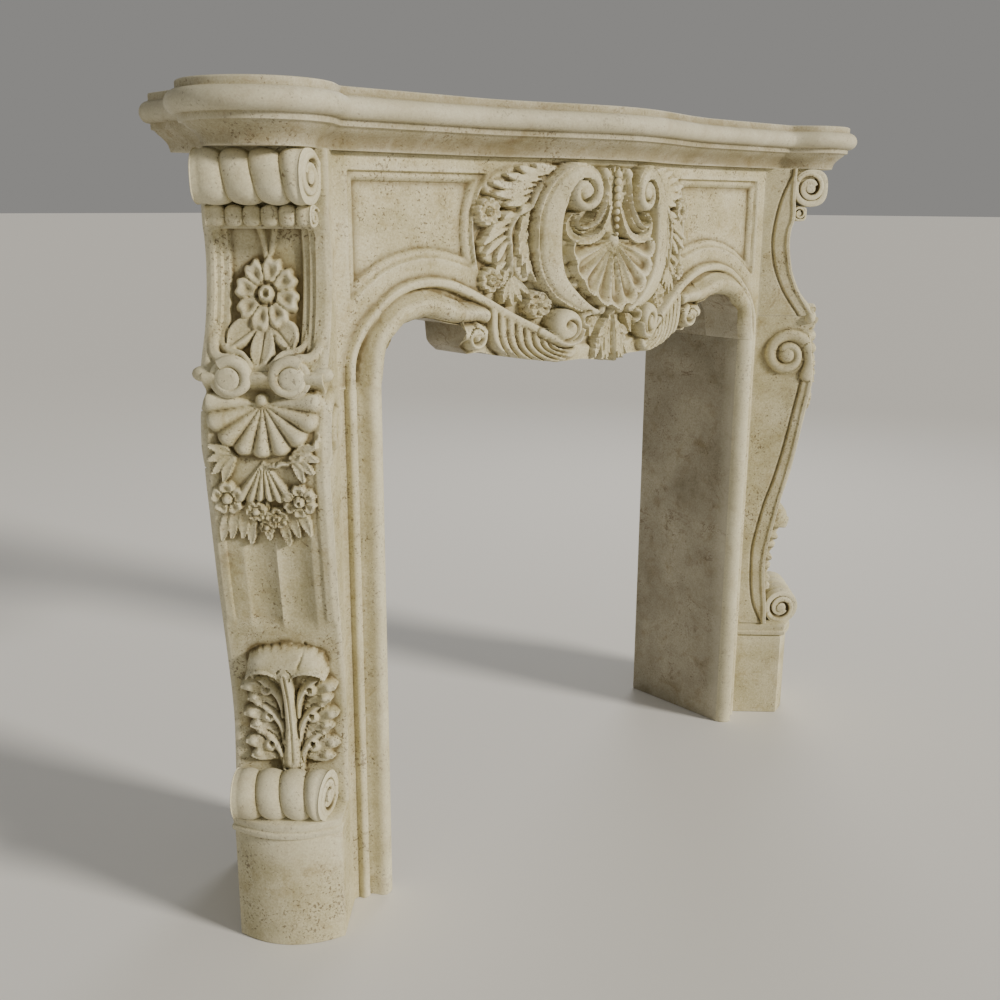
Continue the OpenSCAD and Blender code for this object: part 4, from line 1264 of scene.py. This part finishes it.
stage = {
    "floor": "#e6e4df",
    "floorReach": 120.0,
    "world": "#eeece8",
    "worldStrength": 0.30,
    "lens": 40.2,
    "position": (-1.442, -1.388, 1.101),
    "yaw": 42.90,
    "pitch": 14.47,
    "roll": -0.234,
    "shift": (0.0036, -0.0075),
    # kind, place, target, size, power, colour: metres and watts, or a sun's degrees and watts a square metre
    "lights": {
        "key": ("SUN", (1.3, -3.4, 2.4), (0, 0, 0.9), 11, 3.7, "#fff9ee"),
        "fill": ("AREA", (-3.4, -1.5, 1.5), (-0.2, 0, 0.7), 2.0, 5, "#f6f5f0"),
        "rim": ("AREA", (2.6, 1.6, 2.6), (0, 0, 0.9), 1.6, 30, "#ffffff"),
    },
}


def makeStage():
    mesh = bpy.data.meshes.new("floor")
    reach = stage["floorReach"]
    corners = [(x * reach, y * reach, -0.0005) for x, y in ((-1, -1), (1, -1), (1, 1), (-1, 1))]
    mesh.from_pydata(corners, [], [(0, 1, 2, 3)])
    floor = bpy.data.objects.new("floor", mesh)
    bpy.context.scene.collection.objects.link(floor)
    paper = bpy.data.materials.new("pale_floor")
    paper.use_nodes = True
    shader = paper.node_tree.nodes["Principled BSDF"]
    shader.inputs["Base Color"].default_value = linear(stage["floor"])
    shader.inputs["Roughness"].default_value = 0.8
    mesh.materials.append(paper)
    floor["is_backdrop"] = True
    world = bpy.data.worlds.new("studio")
    world.use_nodes = True
    background = world.node_tree.nodes["Background"]
    background.inputs["Color"].default_value = linear(stage["world"])
    background.inputs["Strength"].default_value = stage["worldStrength"]
    bpy.context.scene.world = world


def softLight(name, kind, place, target, size, power, tint):
    light = bpy.data.lights.new(name, kind)
    light.energy = power
    light.color = linear(tint)[:3]
    if kind == "AREA":
        light.shape = "DISK"
        light.size = size
    else:
        light.angle = math.radians(size)
    obj = bpy.data.objects.new(name, light)
    bpy.context.scene.collection.objects.link(obj)
    obj.location = place
    obj.rotation_euler = (Vector(target) - Vector(place)).to_track_quat("-Z", "Y").to_euler()


def makeCamera():
    yaw, pitch, rollBy = (math.radians(stage[k]) for k in ("yaw", "pitch", "roll"))
    forward = Vector((math.sin(yaw) * math.cos(pitch), math.cos(yaw) * math.cos(pitch), -math.sin(pitch)))
    right = forward.cross(Vector((0, 0, 1))).normalized()
    up = right.cross(forward)
    turn = Matrix.Rotation(rollBy, 3, forward)
    right, up = turn @ right, turn @ up
    data = bpy.data.cameras.new("camera")
    data.lens = stage["lens"]
    data.sensor_width = 36.0
    data.shift_x, data.shift_y = stage["shift"]
    camera = bpy.data.objects.new("camera", data)
    bpy.context.scene.collection.objects.link(camera)
    axes = Matrix((right, up, -forward)).transposed()
    camera.matrix_world = Matrix.Translation(stage["position"]) @ axes.to_4x4()
    bpy.context.scene.camera = camera


makeStage()
for name, values in stage["lights"].items():
    softLight(name, *values)
makeCamera()
print("stage ready")

boxes = [[list(corner) for corner in box] for box in (cadBox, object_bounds())]
